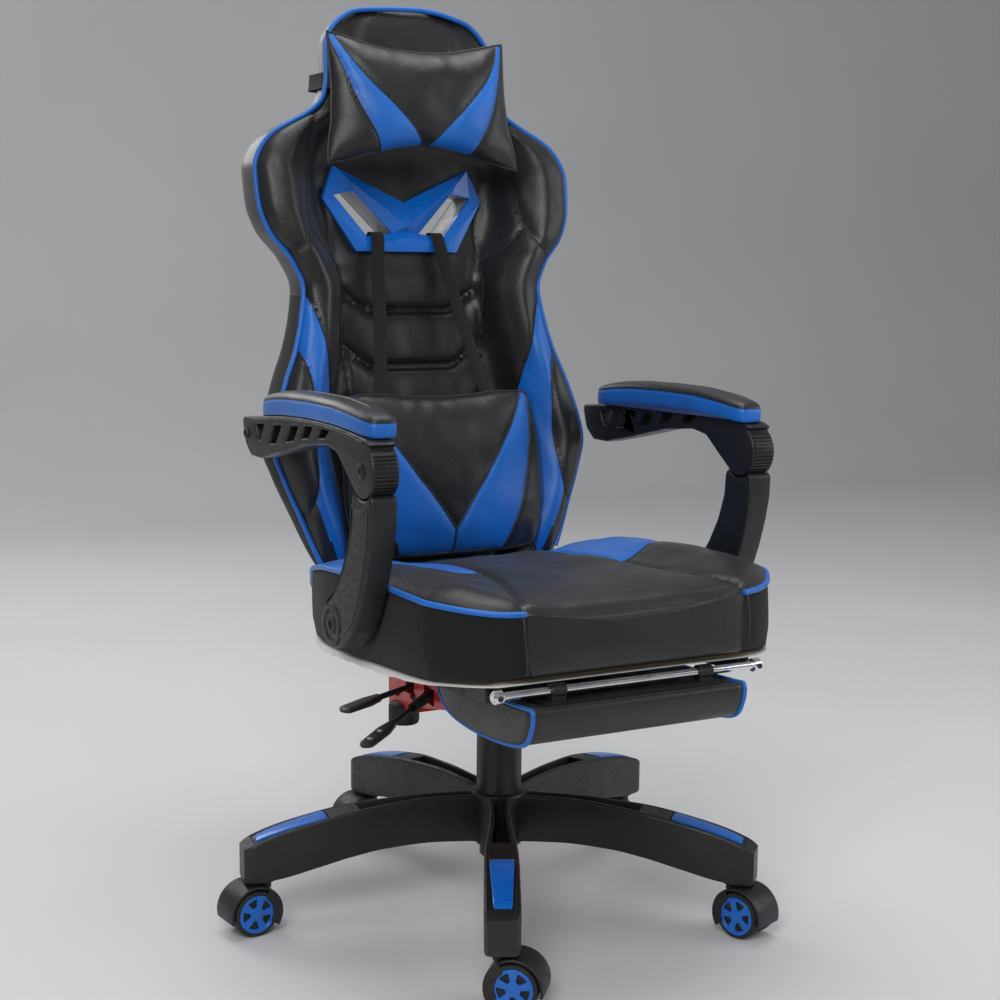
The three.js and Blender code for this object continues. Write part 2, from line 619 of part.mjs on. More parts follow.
// ---------------------------------------------------------------- arms
function around({ y, z }, radius, degrees) {
  return [y + radius * Math.cos(degrees * DEG), z + radius * Math.sin(degrees * DEG)];
}

function armPost() {
  const body = outline([
    [-207, 586], [-206, 560], [-199, 528], [-188, 494], [-172, 456], [-152, 424], [-122, 402], [-92, 395],
    [-66, 404], [-56, 424], [-62, 440], [-92, 462], [-118, 492], [-138, 526], [-150, 560], [-152, 580],
    [-166, 584], [-186, 586]]);
  const relief = acrossX(disc(ARM_ELBOW.y, ARM_ELBOW.z, 33.2, 28), ARM_INNER - 5, ARM_OUTER + 5);
  const tongue = acrossX(disc(ARM_ELBOW.y, ARM_ELBOW.z, 27, 24), 251, 271);
  const neck = acrossX(outline([[-196, 600], [-198, 580], [-160, 576], [-160, 600]].reverse()), 251, 271);
  const footHole = rodX(8 + GAP, ARM_INNER - 5, ARM_OUTER + 5, ARM_FOOT.y, ARM_FOOT.z, 16);
  const elbowHole = rodX(6 + GAP, ARM_INNER - 5, ARM_OUTER + 5, ARM_ELBOW.y, ARM_ELBOW.z, 16);
  const solid = toSolid(acrossX(body, ARM_INNER, ARM_OUTER)).subtract(toSolid(relief));
  return build([toGeometry(solid), tongue, neck], [footHole, elbowHole]);
}

const PAD_BOTTOM = [[-193, 655], [-130, 661], [-60, 663.5], [20, 662], [90, 658], [150, 652]];
const PAD_TOP = [[158, 679], [90, 688], [20, 692], [-60, 693], [-130, 689], [-193, 680]];

function armBeam() {
  const top = PAD_BOTTOM.map(([y, z]) => [y, z - GAP]);
  const knuckle = [120, 150, 180, 205, 225].map((degrees) => around(ARM_ELBOW, 32, degrees));
  const under = [[-107, 632], [-75, 637], [-10, 630], [63, 614], [150, 597], [185, 597]];
  const elbow = [245, 270, 295, 315].map((degrees) => around(ARM_ELBOW, 32, degrees));
  const rearEnd = [[205, 612], [214, 636], [214, 646]];
  const points = [...knuckle, ...elbow, [-134, 612], ...under, ...rearEnd, ...top.reverse(), [-203, 650]];
  const slot = acrossX(disc(ARM_ELBOW.y, ARM_ELBOW.z, 28, 24), 250.7, 271.3);
  const mouthEdge = [-168, -136, -100, -64, -24].map((degrees) => around(ARM_ELBOW, 60, degrees));
  const mouth = acrossX(outline([[ARM_ELBOW.y, ARM_ELBOW.z], ...mouthEdge]), 250.7, 271.3);
  const windows = BEAM_WINDOWS.map((window) => acrossX(outline(window), ARM_INNER - 5, ARM_OUTER + 5));
  const boltHole = rodX(6 + GAP, ARM_INNER - 5, ARM_OUTER + 5, ARM_ELBOW.y, ARM_ELBOW.z, 16);
  const rearHole = rodX(8, ARM_INNER - 5, ARM_OUTER + 5, ARM_REAR_BOLT.y - 4, ARM_REAR_BOLT.z - 4, 16);
  const sideRelief = acrossX(outline([[120, 580], [230, 580], [230, 652], [120, 652]]), ARM_INNER - 5, 250);
  const underCushion = acrossX(outline(points), ARM_INNER, ARM_OUTER);
  return build([underCushion], [slot, mouth, ...windows, boltHole, rearHole, sideRelief]);
}

// Slanted openings through the beam, each [y, z] corner by corner, rear to front.
const BEAM_WINDOWS = [
  [[158, 622], [168, 640], [134, 643], [150, 620]],
  [[94, 622], [116, 620], [102, 644], [72, 647]],
  [[32, 632], [58, 628], [42, 649], [14, 651]],
  [[-18, 640], [6, 637], [-4, 653], [-32, 654]],
];

function armPad() {
  const side = outline([...PAD_BOTTOM, ...PAD_TOP]);
  const blank = acrossX(side, 231, ARM_OUTER);
  const plan = roundedPlan(23.5, -193, 158, 20, 6);
  return toGeometry(toSolid(blank).intersect(toSolid(acrossZ(plan, 600, 720).translate(254.5, 0, 0))));
}

function addArms() {
  for (const [suffix, side] of [['l', -1], ['r', 1]]) {
    const place = (geometry) => (side > 0 ? geometry : mirrorX(geometry));
    addMesh(`arm_post_${suffix}`, place(armPost()), NYLON);
    addMesh(`arm_beam_${suffix}`, place(armBeam()), NYLON);
    addMesh(`arm_pad_${suffix}`, place(armPad()), BLUE_LEATHER);
    addMesh(`foot_bolt_${suffix}`, place(rodX(8, 240.6, 276, ARM_FOOT.y, ARM_FOOT.z, 16)), BLACK_STEEL);
    addMesh(`elbow_pin_${suffix}`, place(rodX(6, 244.5, 277, ARM_ELBOW.y, ARM_ELBOW.z, 16)), BLACK_STEEL);
  }
}

function mirrorX(geometry) {
  const mirrored = geometry.index ? geometry.toNonIndexed() : geometry.clone();
  mirrored.scale(-1, 1, 1);
  const position = mirrored.attributes.position;
  for (let i = 0; i < position.count; i += 3) {
    const keep = new THREE.Vector3().fromBufferAttribute(position, i);
    const swap = new THREE.Vector3().fromBufferAttribute(position, i + 1);
    position.setXYZ(i, swap.x, swap.y, swap.z);
    position.setXYZ(i + 1, keep.x, keep.y, keep.z);
  }
  mirrored.deleteAttribute('normal');
  return mergeVertices(mirrored, 1e-4);
}

// ---------------------------------------------------------------- footrest
// A point of the (y, z) plane given in the seat board's own frame.
function toSeatFrame({ y, z }) {
  const [c, s] = [Math.cos(SEAT_PITCH * DEG), Math.sin(SEAT_PITCH * DEG)];
  return { y: y * c - (z - SEAT_BOTTOM) * s, z: y * s + (z - SEAT_BOTTOM) * c };
}

function addFootrest() {
  const { y: front, z: rodHeight } = toSeatFrame(BAR);
  const alongY = (radius, x, y0, y1, facets) =>
    new THREE.CylinderGeometry(radius, radius, y1 - y0, facets).translate(x, (y0 + y1) / 2, rodHeight);
  for (const [suffix, side] of [['l', -1], ['r', 1]]) {
    const channel = new THREE.BoxGeometry(17, 300, 21).translate(side * RAIL_X, -150, rodHeight + 1.2);
    const bore = alongY(BAR.radius + GAP, side * RAIL_X, -320, 10, 16);
    addMesh(`footrest_rail_${suffix}`, build([channel], [bore]), BLACK_STEEL, seatFrame);
  }
  const crossBar = rodX(BAR.radius, -RAIL_X - 5, RAIL_X + 5, front, rodHeight, 16);
  const sideRods = [-1, 1].map((side) => alongY(BAR.radius, side * RAIL_X, front - 3, -8, 16));
  const collars = [-1, 1].map((side) => rodX(7.5, side * 176 - 5, side * 176 + 5, front, rodHeight, 16));
  addMesh('footrest_slide', build([crossBar, ...sideRods, ...collars]), CHROME, seatFrame);

  addMesh('footrest_pad', acrossX(PAD_SIDE, -147, 147), LEATHER);
  addMesh('footrest_flip_plate', flipPlate(), BLACK_STEEL);
}

const PAD_SIDE = softOutline([[-343, 362], [-341, 340], [-324, 320], [-270, 310], [-200, 307], [-140, 313],
  [-112, 330], [-108, 350], [-150, 353], [-240, 357], [-322, 362]], 26);

function flipPlate() {
  const profile = [[-330, 363], [-330, 367], [-130, 358.5], [-130, 354.5]];
  const plate = acrossX(outline(profile.reverse()), -120, 120);
  const legOutline = outline([[-326, 364], [-314, 364], [-314, 376], [-326, 376]]);
  const knuckles = [-1, 1].map((side) => {
    const ring = acrossX(disc(BAR.y, BAR.z, BAR.radius + 3.6), side * 100 - 9, side * 100 + 9);
    const leg = acrossX(legOutline, side * 100 - 9, side * 100 + 9);
    return [ring, leg];
  }).flat();
  return build([plate, ...knuckles], [rodX(BAR.radius + GAP, -130, 130, BAR.y, BAR.z, 20)]);
}

addBase();
addCasters();
addColumn();
addMechanism();
addLevers();
addTiltPlate();
addSeat();
addReclineBrackets();
addBackrest();
addPillows();
addArms();
addFootrest();

export default part;
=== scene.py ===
import math

import bmesh
import bpy
import numpy as np
from mathutils import Matrix, Vector


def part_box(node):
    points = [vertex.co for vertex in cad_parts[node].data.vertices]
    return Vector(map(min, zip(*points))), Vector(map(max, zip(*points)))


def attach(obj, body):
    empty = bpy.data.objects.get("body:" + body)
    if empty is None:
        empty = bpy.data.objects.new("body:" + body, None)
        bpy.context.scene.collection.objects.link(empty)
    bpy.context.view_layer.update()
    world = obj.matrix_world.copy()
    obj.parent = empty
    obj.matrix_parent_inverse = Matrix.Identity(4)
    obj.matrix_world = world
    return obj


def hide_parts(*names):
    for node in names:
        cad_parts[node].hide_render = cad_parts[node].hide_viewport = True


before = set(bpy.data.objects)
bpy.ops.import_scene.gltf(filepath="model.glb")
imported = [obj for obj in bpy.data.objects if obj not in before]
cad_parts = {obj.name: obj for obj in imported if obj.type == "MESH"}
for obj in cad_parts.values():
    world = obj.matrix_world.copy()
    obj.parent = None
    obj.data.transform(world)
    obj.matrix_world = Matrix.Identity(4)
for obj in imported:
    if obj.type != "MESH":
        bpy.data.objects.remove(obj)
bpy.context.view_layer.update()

# Sizes below are in millimetres about the column axis, with z up from the floor.
MM = 0.001
# Turned solids start and end this close to their axis.
AXIS = 0.01
COLUMN_LOW, COLUMN_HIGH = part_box("gas_lift_cylinder")
COLUMN = (COLUMN_LOW + COLUMN_HIGH) / 2

ARM_COUNT = 5
ARM_START = math.radians(-27.24)
STEM_RADIUS = 320
WHEEL_OFFSET = 15.1
AXLE_HEIGHT = 29.74
CASTER_TRAIL = 18
CASTER_HEADINGS = [-41.6, -70.7, 147.3, 180.4, 186.1]

SEAT_PITCH = math.radians(4.1)
SEAT_BOTTOM = 369
SEAT_FRONT, SEAT_REAR = -338, 186
BACK_FOOT = (178.6, 466.6)
BACK_SLOPE = 0.169
BACK_LOW = 433
TRIM_FACE = 47
ARM_INNER, ARM_OUTER = 244, 278
ARM_FOOT = (-92, 424)
ARM_ELBOW = (-180, 618)
ARM_REAR_BOLT = (196, 626)
BAR = (-320, 378)
RAIL_X = 172

PIPING_RADIUS = 3.6

# Half width of the backrest at each height, and how its front and rear skins run.
BACK_WIDTH = [
    (433, 176), (450, 185), (506, 207), (560, 228), (600, 239), (640, 232), (690, 216), (735, 198),
    (784, 186), (815, 182), (854, 197), (892, 226), (930, 238), (975, 240), (1000, 231), (1021, 213),
    (1036, 188), (1052, 158), (1072, 136), (1100, 128), (1150, 125), (1178, 108), (1191, 88), (1201, 52),
    (1204, 20),
]
BACK_DEPTH = [(433, 62), (500, 88), (600, 104), (700, 106), (800, 100), (900, 106), (985, 104),
              (1040, 84), (1072, 62), (1120, 52), (1180, 46), (1204, 34)]
BACK_DISH = [(433, 30), (480, 42), (560, 50), (700, 54), (865, 58), (985, 58), (1030, 40), (1060, 14),
             (1080, 0), (1150, -6), (1190, 0), (1204, 8)]
BACK_BOLSTER = [(433, 4), (500, 22), (600, 30), (700, 24), (815, 16), (900, 26), (985, 22), (1040, 10),
                (1072, 2), (1150, 2), (1204, -6)]

# Seat, front to rear: half width, height of the side piping and of the crown above the board.
SEAT_HALF = [(-338, 146), (-330, 172), (-315, 196), (-290, 218), (-257, 236), (-190, 240), (-90, 240),
             (10, 238), (90, 226), (140, 208), (170, 196), (186, 186)]
SEAT_EDGE = [(-338, 79), (-330, 80), (-315, 83), (-290, 87), (-257, 92), (-190, 98), (-90, 104), (10, 104),
             (90, 96), (140, 78), (170, 64), (186, 54)]
SEAT_CROWN = [(-338, 74), (-334, 81), (-328, 88), (-318, 93), (-300, 98), (-257, 106), (-190, 111),
              (-90, 115), (10, 112), (90, 100), (140, 82), (170, 68), (186, 58)]


# ---------------------------------------------------------------- small tools
def to_frame(points):
    """Rows of x, y, z in millimetres about the column axis, in the frame's metres."""
    return np.asarray(points, float) * MM + np.array([COLUMN.x, COLUMN.y, 0.0])


def curve(table, t):
    """Smooth curve through a table of (position, value) that never overshoots between its rows."""
    x, y = np.array(table, float).T
    step = np.diff(x)
    slope = np.diff(y) / step
    tangent = np.zeros_like(y)
    tangent[0], tangent[-1] = slope[0], slope[-1]
    for i in range(1, len(y) - 1):
        if slope[i - 1] * slope[i] > 0:
            w1, w2 = 2 * step[i] + step[i - 1], step[i] + 2 * step[i - 1]
            tangent[i] = (w1 + w2) / (w1 / slope[i - 1] + w2 / slope[i])
    t = np.clip(np.asarray(t, float), x[0], x[-1])
    i = np.clip(np.searchsorted(x, t) - 1, 0, len(x) - 2)
    s = (t - x[i]) / step[i]
    return ((1 + 2 * s) * (1 - s) ** 2 * y[i] + s * (1 - s) ** 2 * step[i] * tangent[i]
            + s * s * (3 - 2 * s) * y[i + 1] + s * s * (s - 1) * step[i] * tangent[i + 1])


def ripple(u, v, across, along, seed):
    """Soft seeded noise from -1 to 1, with bumps of about the given sizes along u and v."""
    lattice = np.random.RandomState(seed).uniform(-1, 1, (61, 61))
    a, b = np.asarray(u, float) / across, np.asarray(v, float) / along
    i, j = np.floor(a).astype(int), np.floor(b).astype(int)
    p, q = a - i, b - j
    p, q = p * p * (3 - 2 * p), q * q * (3 - 2 * q)
    pick = lambda m, n: lattice[m % 61, n % 61]
    low = pick(i, j) * (1 - p) + pick(i + 1, j) * p
    high = pick(i, j + 1) * (1 - p) + pick(i + 1, j + 1) * p
    return low * (1 - q) + high * q


def nearest_on(points, line):
    """Distance from each point to a polyline, and the closest point on it; all in one plane."""
    line = np.asarray(line, float)
    best = np.full(len(points), 1e9)
    closest = points.copy()
    for a, b in zip(line[:-1], line[1:]):
        d = b - a
        t = np.clip(((points - a) @ d) / max(d @ d, 1e-9), 0, 1)
        q = a + t[:, None] * d
        distance = np.linalg.norm(points - q, axis=1)
        nearer = distance < best
        best = np.where(nearer, distance, best)
        closest[nearer] = q[nearer]
    return best, closest


def inside(points, polygon):
    """Which points lie inside a polygon, by counting the edges crossed on the way out."""
    polygon = np.asarray(polygon, float)
    x, y = points[:, 0], points[:, 1]
    result = np.zeros(len(points), bool)
    for (xa, ya), (xb, yb) in zip(polygon, np.roll(polygon, -1, axis=0)):
        if ya == yb:
            continue
        crosses = ((ya > y) != (yb > y)) & (x < (xb - xa) * (y - ya) / (yb - ya) + xa)
        result ^= crosses
    return result


def spread(line, count):
    """The same line as that many evenly spaced points."""
    line = np.asarray(line, float)
    length = np.r_[0, np.cumsum(np.linalg.norm(np.diff(line, axis=0), axis=1))]
    even = np.linspace(0, length[-1], count)
    return np.stack([np.interp(even, length, line[:, k]) for k in range(line.shape[1])], axis=1)


def soft_point(a, b, c, d, s):
    """Point at share s of the soft curve from b to c; a and d are the points before and after."""
    return 0.5 * (2 * b + (c - a) * s + (2 * a - 5 * b + 4 * c - d) * s * s
                  + (3 * b - a - 3 * c + d) * s ** 3)


def smooth_line(points, count=40):
    """A soft curve through a few points of any dimension, as that many evenly spread points."""
    p = np.asarray(points, float)
    ends = np.vstack([2 * p[0] - p[1], p, 2 * p[-1] - p[-2]])
    out = []
    for a, b, c, d in zip(ends[:-3], ends[1:-2], ends[2:-1], ends[3:]):
        out += [soft_point(a, b, c, d, s) for s in np.linspace(0, 1, 12, endpoint=False)]
    return spread(np.array(out + [p[-1]]), count)


def soft_outline(points, steps):
    """A closed smooth outline through a few points."""
    p = np.asarray(points, float)
    loop = np.vstack([p[-1:], p, p[:2]])
    line = []
    for a, b, c, d in zip(loop[:-3], loop[1:-2], loop[2:-1], loop[3:]):
        line += [soft_point(a, b, c, d, s) for s in np.linspace(0, 1, steps, endpoint=False)]
    return np.array(line)


def on_side(line, side, shift=0):
    """A line of the right half, or its mirror image when side is -1, moved across by shift."""
    return [(side * u + shift, v) for u, v in line]


def both_sides(line):
    return [np.array(on_side(line, side), float) for side in (1, -1)]


def circle(cx, cy, radius, count):
    turns = np.linspace(0, 2 * math.pi, count, endpoint=False)
    return [(cx + radius * math.cos(t), cy + radius * math.sin(t)) for t in turns]


def around(centre, radius, degrees):
    """The point at that bearing and distance from the centre."""
    t = math.radians(degrees)
    return centre[0] + radius * math.cos(t), centre[1] + radius * math.sin(t)


def arc(centre, radius, start, end, count):
    return [around(centre, radius, d) for d in np.linspace(start, end, count)]


def squared(turn, power_x, power_y):
    """A rounded square of unit half width: the lower the powers, the tighter its corners."""
    x = np.sign(np.cos(turn)) * np.abs(np.cos(turn)) ** power_x
    y = np.sign(np.sin(turn)) * np.abs(np.sin(turn)) ** power_y
    return x, y


def rounded(points, radius=3.0, steps=4):
    """Outline with every corner rounded off."""
    out = []
    p = [np.array(q, float) for q in points]
    for before, corner, after in zip(p[-1:] + p[:-1], p, p[1:] + p[:1]):
        a, b = before - corner, after - corner
        reach = min(radius, 0.45 * np.linalg.norm(a), 0.45 * np.linalg.norm(b))
        start = corner + a / np.linalg.norm(a) * reach
        end = corner + b / np.linalg.norm(b) * reach
        for t in np.linspace(0, 1, steps):
            out.append(tuple((1 - t) ** 2 * start + 2 * t * (1 - t) * corner + t * t * end))
    return out


# ---------------------------------------------------------------- meshes
def add_object(name, points, faces, materials, which=None, crease=40):
    """A mesh object from chair points; which gives the material of every face."""
    mesh = bpy.data.meshes.new(name)
    mesh.from_pydata(to_frame(points).tolist(), [], [list(map(int, f)) for f in faces])
    obj = bpy.data.objects.new(name, mesh)
    bpy.context.scene.collection.objects.link(obj)
    for material in materials:
        mesh.materials.append(material)
    if which is not None:
        mesh.polygons.foreach_set("material_index", np.asarray(which, np.int32))
    tidy(mesh, crease)
    return obj


def tidy(mesh, crease=40):
    """Merges doubles, turns every face outwards and softens the shading up to the crease angle."""
    bm = bmesh.new()
    bm.from_mesh(mesh)
    bmesh.ops.remove_doubles(bm, verts=bm.verts, dist=1e-6)
    bmesh.ops.dissolve_degenerate(bm, edges=bm.edges, dist=1e-7)
    bmesh.ops.recalc_face_normals(bm, faces=bm.faces)
    bm.to_mesh(mesh)
    bm.free()
    mesh.polygons.foreach_set("use_smooth", np.ones(len(mesh.polygons), bool))
    mesh.set_sharp_from_angle(angle=math.radians(crease))


def ring_faces(rows, count):
    """Quads between rings of points."""
    faces = []
    for r in range(rows - 1):
        for k in range(count):
            a, b = r * count + k, r * count + (k + 1) % count
            faces.append((a, b, b + count, a + count))
    return faces


def loft(name, rings, materials, body=None, crease=40, cap=True, which=None):
    """A skin over rings of points, with its first and last ring closed by a face each."""
    rings = np.asarray(rings, float)
    rows, count = rings.shape[:2]
    faces = ring_faces(rows, count)
    if cap:
        faces.append(tuple(range(count)))
        faces.append(tuple(range((rows - 1) * count, rows * count)))
    obj = add_object(name, rings.reshape(-1, 3), faces, materials, which, crease)
    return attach(obj, body) if body else obj


def tube_rings(path, tangent, guide, radius, sides):
    """Rings round a path, each laid out square to the guide direction."""
    side = np.cross(tangent, guide)
    side /= np.linalg.norm(side, axis=1)[:, None]
    normal = np.cross(side, tangent)
    turn = np.linspace(0, 2 * math.pi, sides, endpoint=False)
    ring = np.cos(turn)[None, :, None] * side[:, None] + np.sin(turn)[None, :, None] * normal[:, None]
    return path[:, None] + radius * ring


def tube(name, path, radius, material, body=None, sides=10):
    path = np.asarray(path, float)
    tangent = np.gradient(path, axis=0)
    tangent /= np.linalg.norm(tangent, axis=1)[:, None]
    rings = tube_rings(path, tangent, (0.13, 0.31, 0.94), radius, sides)
    return loft(name, rings, [material], body, crease=70)


def closed_tube(name, loop, radius, material, body, sides=8):
    tangent = np.roll(loop, -1, axis=0) - np.roll(loop, 1, axis=0)
    tangent /= np.maximum(np.linalg.norm(tangent, axis=1), 1e-6)[:, None]
    rings = tube_rings(loop, tangent, (0.13, 0.94, 0.31), radius, sides)
    rings = np.concatenate([rings, rings[:1]])
    return loft(name, rings, [material], body, crease=70, cap=False)


def lathe(name, profile, material, body, centre=(0, 0, 0), axis=(0, 0, 1), segments=64):
    """A turned piece: rows of (radius, height along the axis) about the centre."""
    angles = np.linspace(0, 2 * math.pi, segments, endpoint=False)
    rings = np.array([[(r * math.cos(t), r * math.sin(t), z) for t in angles] for r, z in profile])
    turn = np.array(Vector((0, 0, 1)).rotation_difference(Vector(axis)).to_matrix())
    return loft(name, rings @ turn.T + np.array(centre, float), [material], body, crease=35)


def slab(name, outlines, low, high, bevel, material, body, to_space, crease=50, resolution=3):
    """A plate with rounded edges: outlines in (u, v), the first one outside and the rest holes.

    It reaches from low to high along w, and to_space turns u, v, w into chair points.
    """
    shape = bpy.data.curves.new(name, "CURVE")
    shape.dimensions = "2D"
    shape.fill_mode = "BOTH"
    for outline in outlines:
        spline = shape.splines.new("POLY")
        spline.points.add(len(outline) - 1)
        for point, (u, v) in zip(spline.points, outline):
            point.co = (u, v, 0, 1)
        spline.use_cyclic_u = True
    shape.extrude = max((high - low) / 2 - bevel, 0.01)
    shape.bevel_depth = bevel
    shape.bevel_resolution = resolution
    shape.offset = -bevel
    holder = bpy.data.objects.new(name + "_outline", shape)
    bpy.context.scene.collection.objects.link(holder)
    bpy.context.view_layer.update()
    mesh = bpy.data.meshes.new_from_object(holder.evaluated_get(bpy.context.evaluated_depsgraph_get()))
    bpy.data.objects.remove(holder)
    local = np.array([v.co for v in mesh.vertices], float)
    middle = (low + high) / 2
    faces = [tuple(p.vertices) for p in mesh.polygons]
    bpy.data.meshes.remove(mesh)
    placed = to_space(local[:, 0], local[:, 1], local[:, 2] + middle)
    obj = add_object(name, np.stack(placed, axis=1), faces, [material], crease=crease)
    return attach(obj, body) if body else obj


def join(name, parts, body):
    """Several meshes as one piece that rides a body."""
    bm = bmesh.new()
    materials = []
    for part in parts:
        part.data.transform(part.matrix_world)
        offset = []
        for material in part.data.materials:
            if material not in materials:
                materials.append(material)
            offset.append(materials.index(material))
        start = len(bm.faces)
        bm.from_mesh(part.data)
        bm.faces.ensure_lookup_table()
        for face in bm.faces[start:]:
            face.material_index = offset[min(face.material_index, len(offset) - 1)]
    mesh = bpy.data.meshes.new(name)
    bm.to_mesh(mesh)
    bm.free()
    for material in materials:
        mesh.materials.append(material)
    for part in parts:
        bpy.data.objects.remove(part)
    obj = bpy.data.objects.new(name, mesh)
    bpy.context.scene.collection.objects.link(obj)
    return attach(obj, body)


# ---------------------------------------------------------------- materials
def start_material(name, colour, roughness, metallic=0.0, coat=0.0, sheen=0.0):
    """A plain material, its node tree and its shader, for the functions below to add to."""
    material = bpy.data.materials.new(name)
    material.use_nodes = True
    tree = material.node_tree
    shader = tree.nodes["Principled BSDF"]
    shader.inputs["Base Color"].default_value = (*colour, 1)
    shader.inputs["Roughness"].default_value = roughness
    shader.inputs["Metallic"].default_value = metallic
    shader.inputs["Coat Weight"].default_value = coat
    shader.inputs["Sheen Weight"].default_value = sheen
    material.diffuse_color = (*colour, 1)
    return material, tree, shader


def place_node(tree, kind, **values):
    """A new node with the given settings and input values."""
    node = tree.nodes.new(kind)
    for key, value in values.items():
        if hasattr(node, key):
            setattr(node, key, value)
        else:
            node.inputs[key].default_value = value
    return node


def object_space(tree, stretch=(1, 1, 1)):
    coordinates = tree.nodes.new("ShaderNodeTexCoord")
    mapping = place_node(tree, "ShaderNodeMapping")
    mapping.inputs["Scale"].default_value = stretch
    tree.links.new(coordinates.outputs["Object"], mapping.inputs["Vector"])
    return mapping.outputs["Vector"]


def noise(tree, space, scale, detail=3.0, rough=0.5):
    node = place_node(tree, "ShaderNodeTexNoise", Scale=scale, Detail=detail, Roughness=rough)
    tree.links.new(space, node.inputs["Vector"])
    return node.outputs["Fac"]


def cells(tree, space, scale, feature="F1"):
    node = place_node(tree, "ShaderNodeTexVoronoi", Scale=scale)
    node.feature = feature
    tree.links.new(space, node.inputs["Vector"])
    return node.outputs["Distance"]


def bands(tree, space, scale, direction, distortion=0.0):
    node = place_node(tree, "ShaderNodeTexWave", Scale=scale, Distortion=distortion)
    node.wave_type = "BANDS"
    node.bands_direction = direction
    tree.links.new(space, node.inputs["Vector"])
    return node.outputs["Fac"]


def remap(tree, value, low, high, low_in=0.0, high_in=1.0):
    node = place_node(tree, "ShaderNodeMapRange")
    node.inputs["From Min"].default_value = low_in
    node.inputs["From Max"].default_value = high_in
    node.inputs["To Min"].default_value = low
    node.inputs["To Max"].default_value = high
    tree.links.new(value, node.inputs["Value"])
    return node.outputs["Result"]


def bump(tree, height, depth, strength=1.0, under=None):
    """Relief of the given depth in metres; under is the relief that it lies on."""
    node = place_node(tree, "ShaderNodeBump", Strength=strength, Distance=depth)
    tree.links.new(height, node.inputs["Height"])
    if under is not None:
        tree.links.new(under, node.inputs["Normal"])
    return node.outputs["Normal"]


def vary_colour(tree, shader, value, dark, light, low_in=0.3, high_in=0.7):
    """Lets the colour run from dark to light as the value rises."""
    ramp = place_node(tree, "ShaderNodeMix")
    ramp.data_type = "RGBA"
    colour_inputs = [s for s in ramp.inputs if s.type == "RGBA"]
    colour_inputs[0].default_value = (*dark, 1)
    colour_inputs[1].default_value = (*light, 1)
    factor = remap(tree, value, 0.0, 1.0, low_in, high_in)
    tree.links.new(factor, ramp.inputs[0])
    output = [s for s in ramp.outputs if s.type == "RGBA"][0]
    tree.links.new(output, shader.inputs["Base Color"])


def vary_roughness(tree, shader, value, low, high, low_in, high_in):
    tree.links.new(remap(tree, value, low, high, low_in, high_in), shader.inputs["Roughness"])


def shade(colour, factor):
    return tuple(min(1.0, c * factor) for c in colour)


def leather(name, colour, roughness, coat=0.0):
    """Grained artificial leather: small pebbles, fine pores, soft creases and uneven sheen."""
    material, tree, shader = start_material(name, colour, roughness, coat=coat, sheen=0.06)
    shader.inputs["Coat Roughness"].default_value = 0.35
    space = object_space(tree)
    pebbles = cells(tree, space, 620, "SMOOTH_F1")
    pores = noise(tree, space, 1900, 2)
    creases = noise(tree, object_space(tree, (1.0, 1.0, 0.55)), 34, 5, 0.6)
    under = bump(tree, creases, 0.0022, 0.35)
    under = bump(tree, pebbles, 0.00045, 0.5, under)
    under = bump(tree, pores, 0.00012, 0.35, under)
    tree.links.new(under, shader.inputs["Normal"])
    tree.links.new(under, shader.inputs["Coat Normal"])
    patches = noise(tree, space, 11, 4)
    vary_roughness(tree, shader, patches, roughness - 0.07, roughness + 0.09, 0.3, 0.7)
    vary_colour(tree, shader, noise(tree, space, 7, 5), shade(colour, 0.86), shade(colour, 1.16))
    return material


def woven(name, colour, threads, roughness=0.92):
    """Plain weave: threads per metre, crossing over and under, with slubs; painted shade darkens the hollows
    between threads and their crossings are painted lighter.
    """
    material, tree, shader = start_material(name, colour, roughness, sheen=0.06)
    space = object_space(tree)
    warp = bands(tree, space, threads / 6.3, "X", 0.3)
    weft = bands(tree, space, threads / 6.3, "Z", 0.3)
    both = place_node(tree, "ShaderNodeMath", operation="MULTIPLY")
    tree.links.new(warp, both.inputs[0])
    tree.links.new(weft, both.inputs[1])
    under = bump(tree, both.outputs[0], 0.0006, 0.6)
    tree.links.new(bump(tree, noise(tree, space, 900), 0.0002, 0.4, under), shader.inputs["Normal"])
    # Painted shade: the colour follows the weave's relief, darker in the hollows between threads and lighter
    # on their crossings.
    vary_colour(tree, shader, both.outputs[0], shade(colour, 0.6), shade(colour, 1.5), 0.0, 0.8)
    return material


def plastic(name, colour, roughness, grain=0.00010, coat=0.0):
    """Moulded plastic: spark-eroded grain, slight flow marks and scuffed sheen."""
    material, tree, shader = start_material(name, colour, roughness, coat=coat)
    space = object_space(tree)
    under = bump(tree, noise(tree, space, 45, 3), 0.0006, 0.06)
    under = bump(tree, noise(tree, space, 1500, 2), grain, 0.5, under)
    tree.links.new(under, shader.inputs["Normal"])
    scuffs = noise(tree, object_space(tree, (1.0, 1.0, 3.0)), 60, 3, 0.5)
    vary_roughness(tree, shader, scuffs, roughness - 0.05, roughness + 0.10, 0.35, 0.65)
    vary_colour(tree, shader, noise(tree, space, 22, 4), shade(colour, 0.88), shade(colour, 1.18))
    return material


def metal(name, colour, roughness, metallic, relief=0.00025, coat=0.0):
    """Painted or plated steel: orange peel, faint wear and uneven gloss."""
    material, tree, shader = start_material(name, colour, roughness, metallic=metallic, coat=coat)
    space = object_space(tree)
    under = bump(tree, noise(tree, space, 260, 2), relief, 0.25)
    tree.links.new(under, shader.inputs["Normal"])
    wear = noise(tree, space, 36, 6, 0.7)
    vary_roughness(tree, shader, wear, roughness * 0.8, roughness * 1.3 + 0.03, 0.35, 0.65)
    vary_colour(tree, shader, wear, shade(colour, 0.88), shade(colour, 1.12), 0.3, 0.7)
    return material


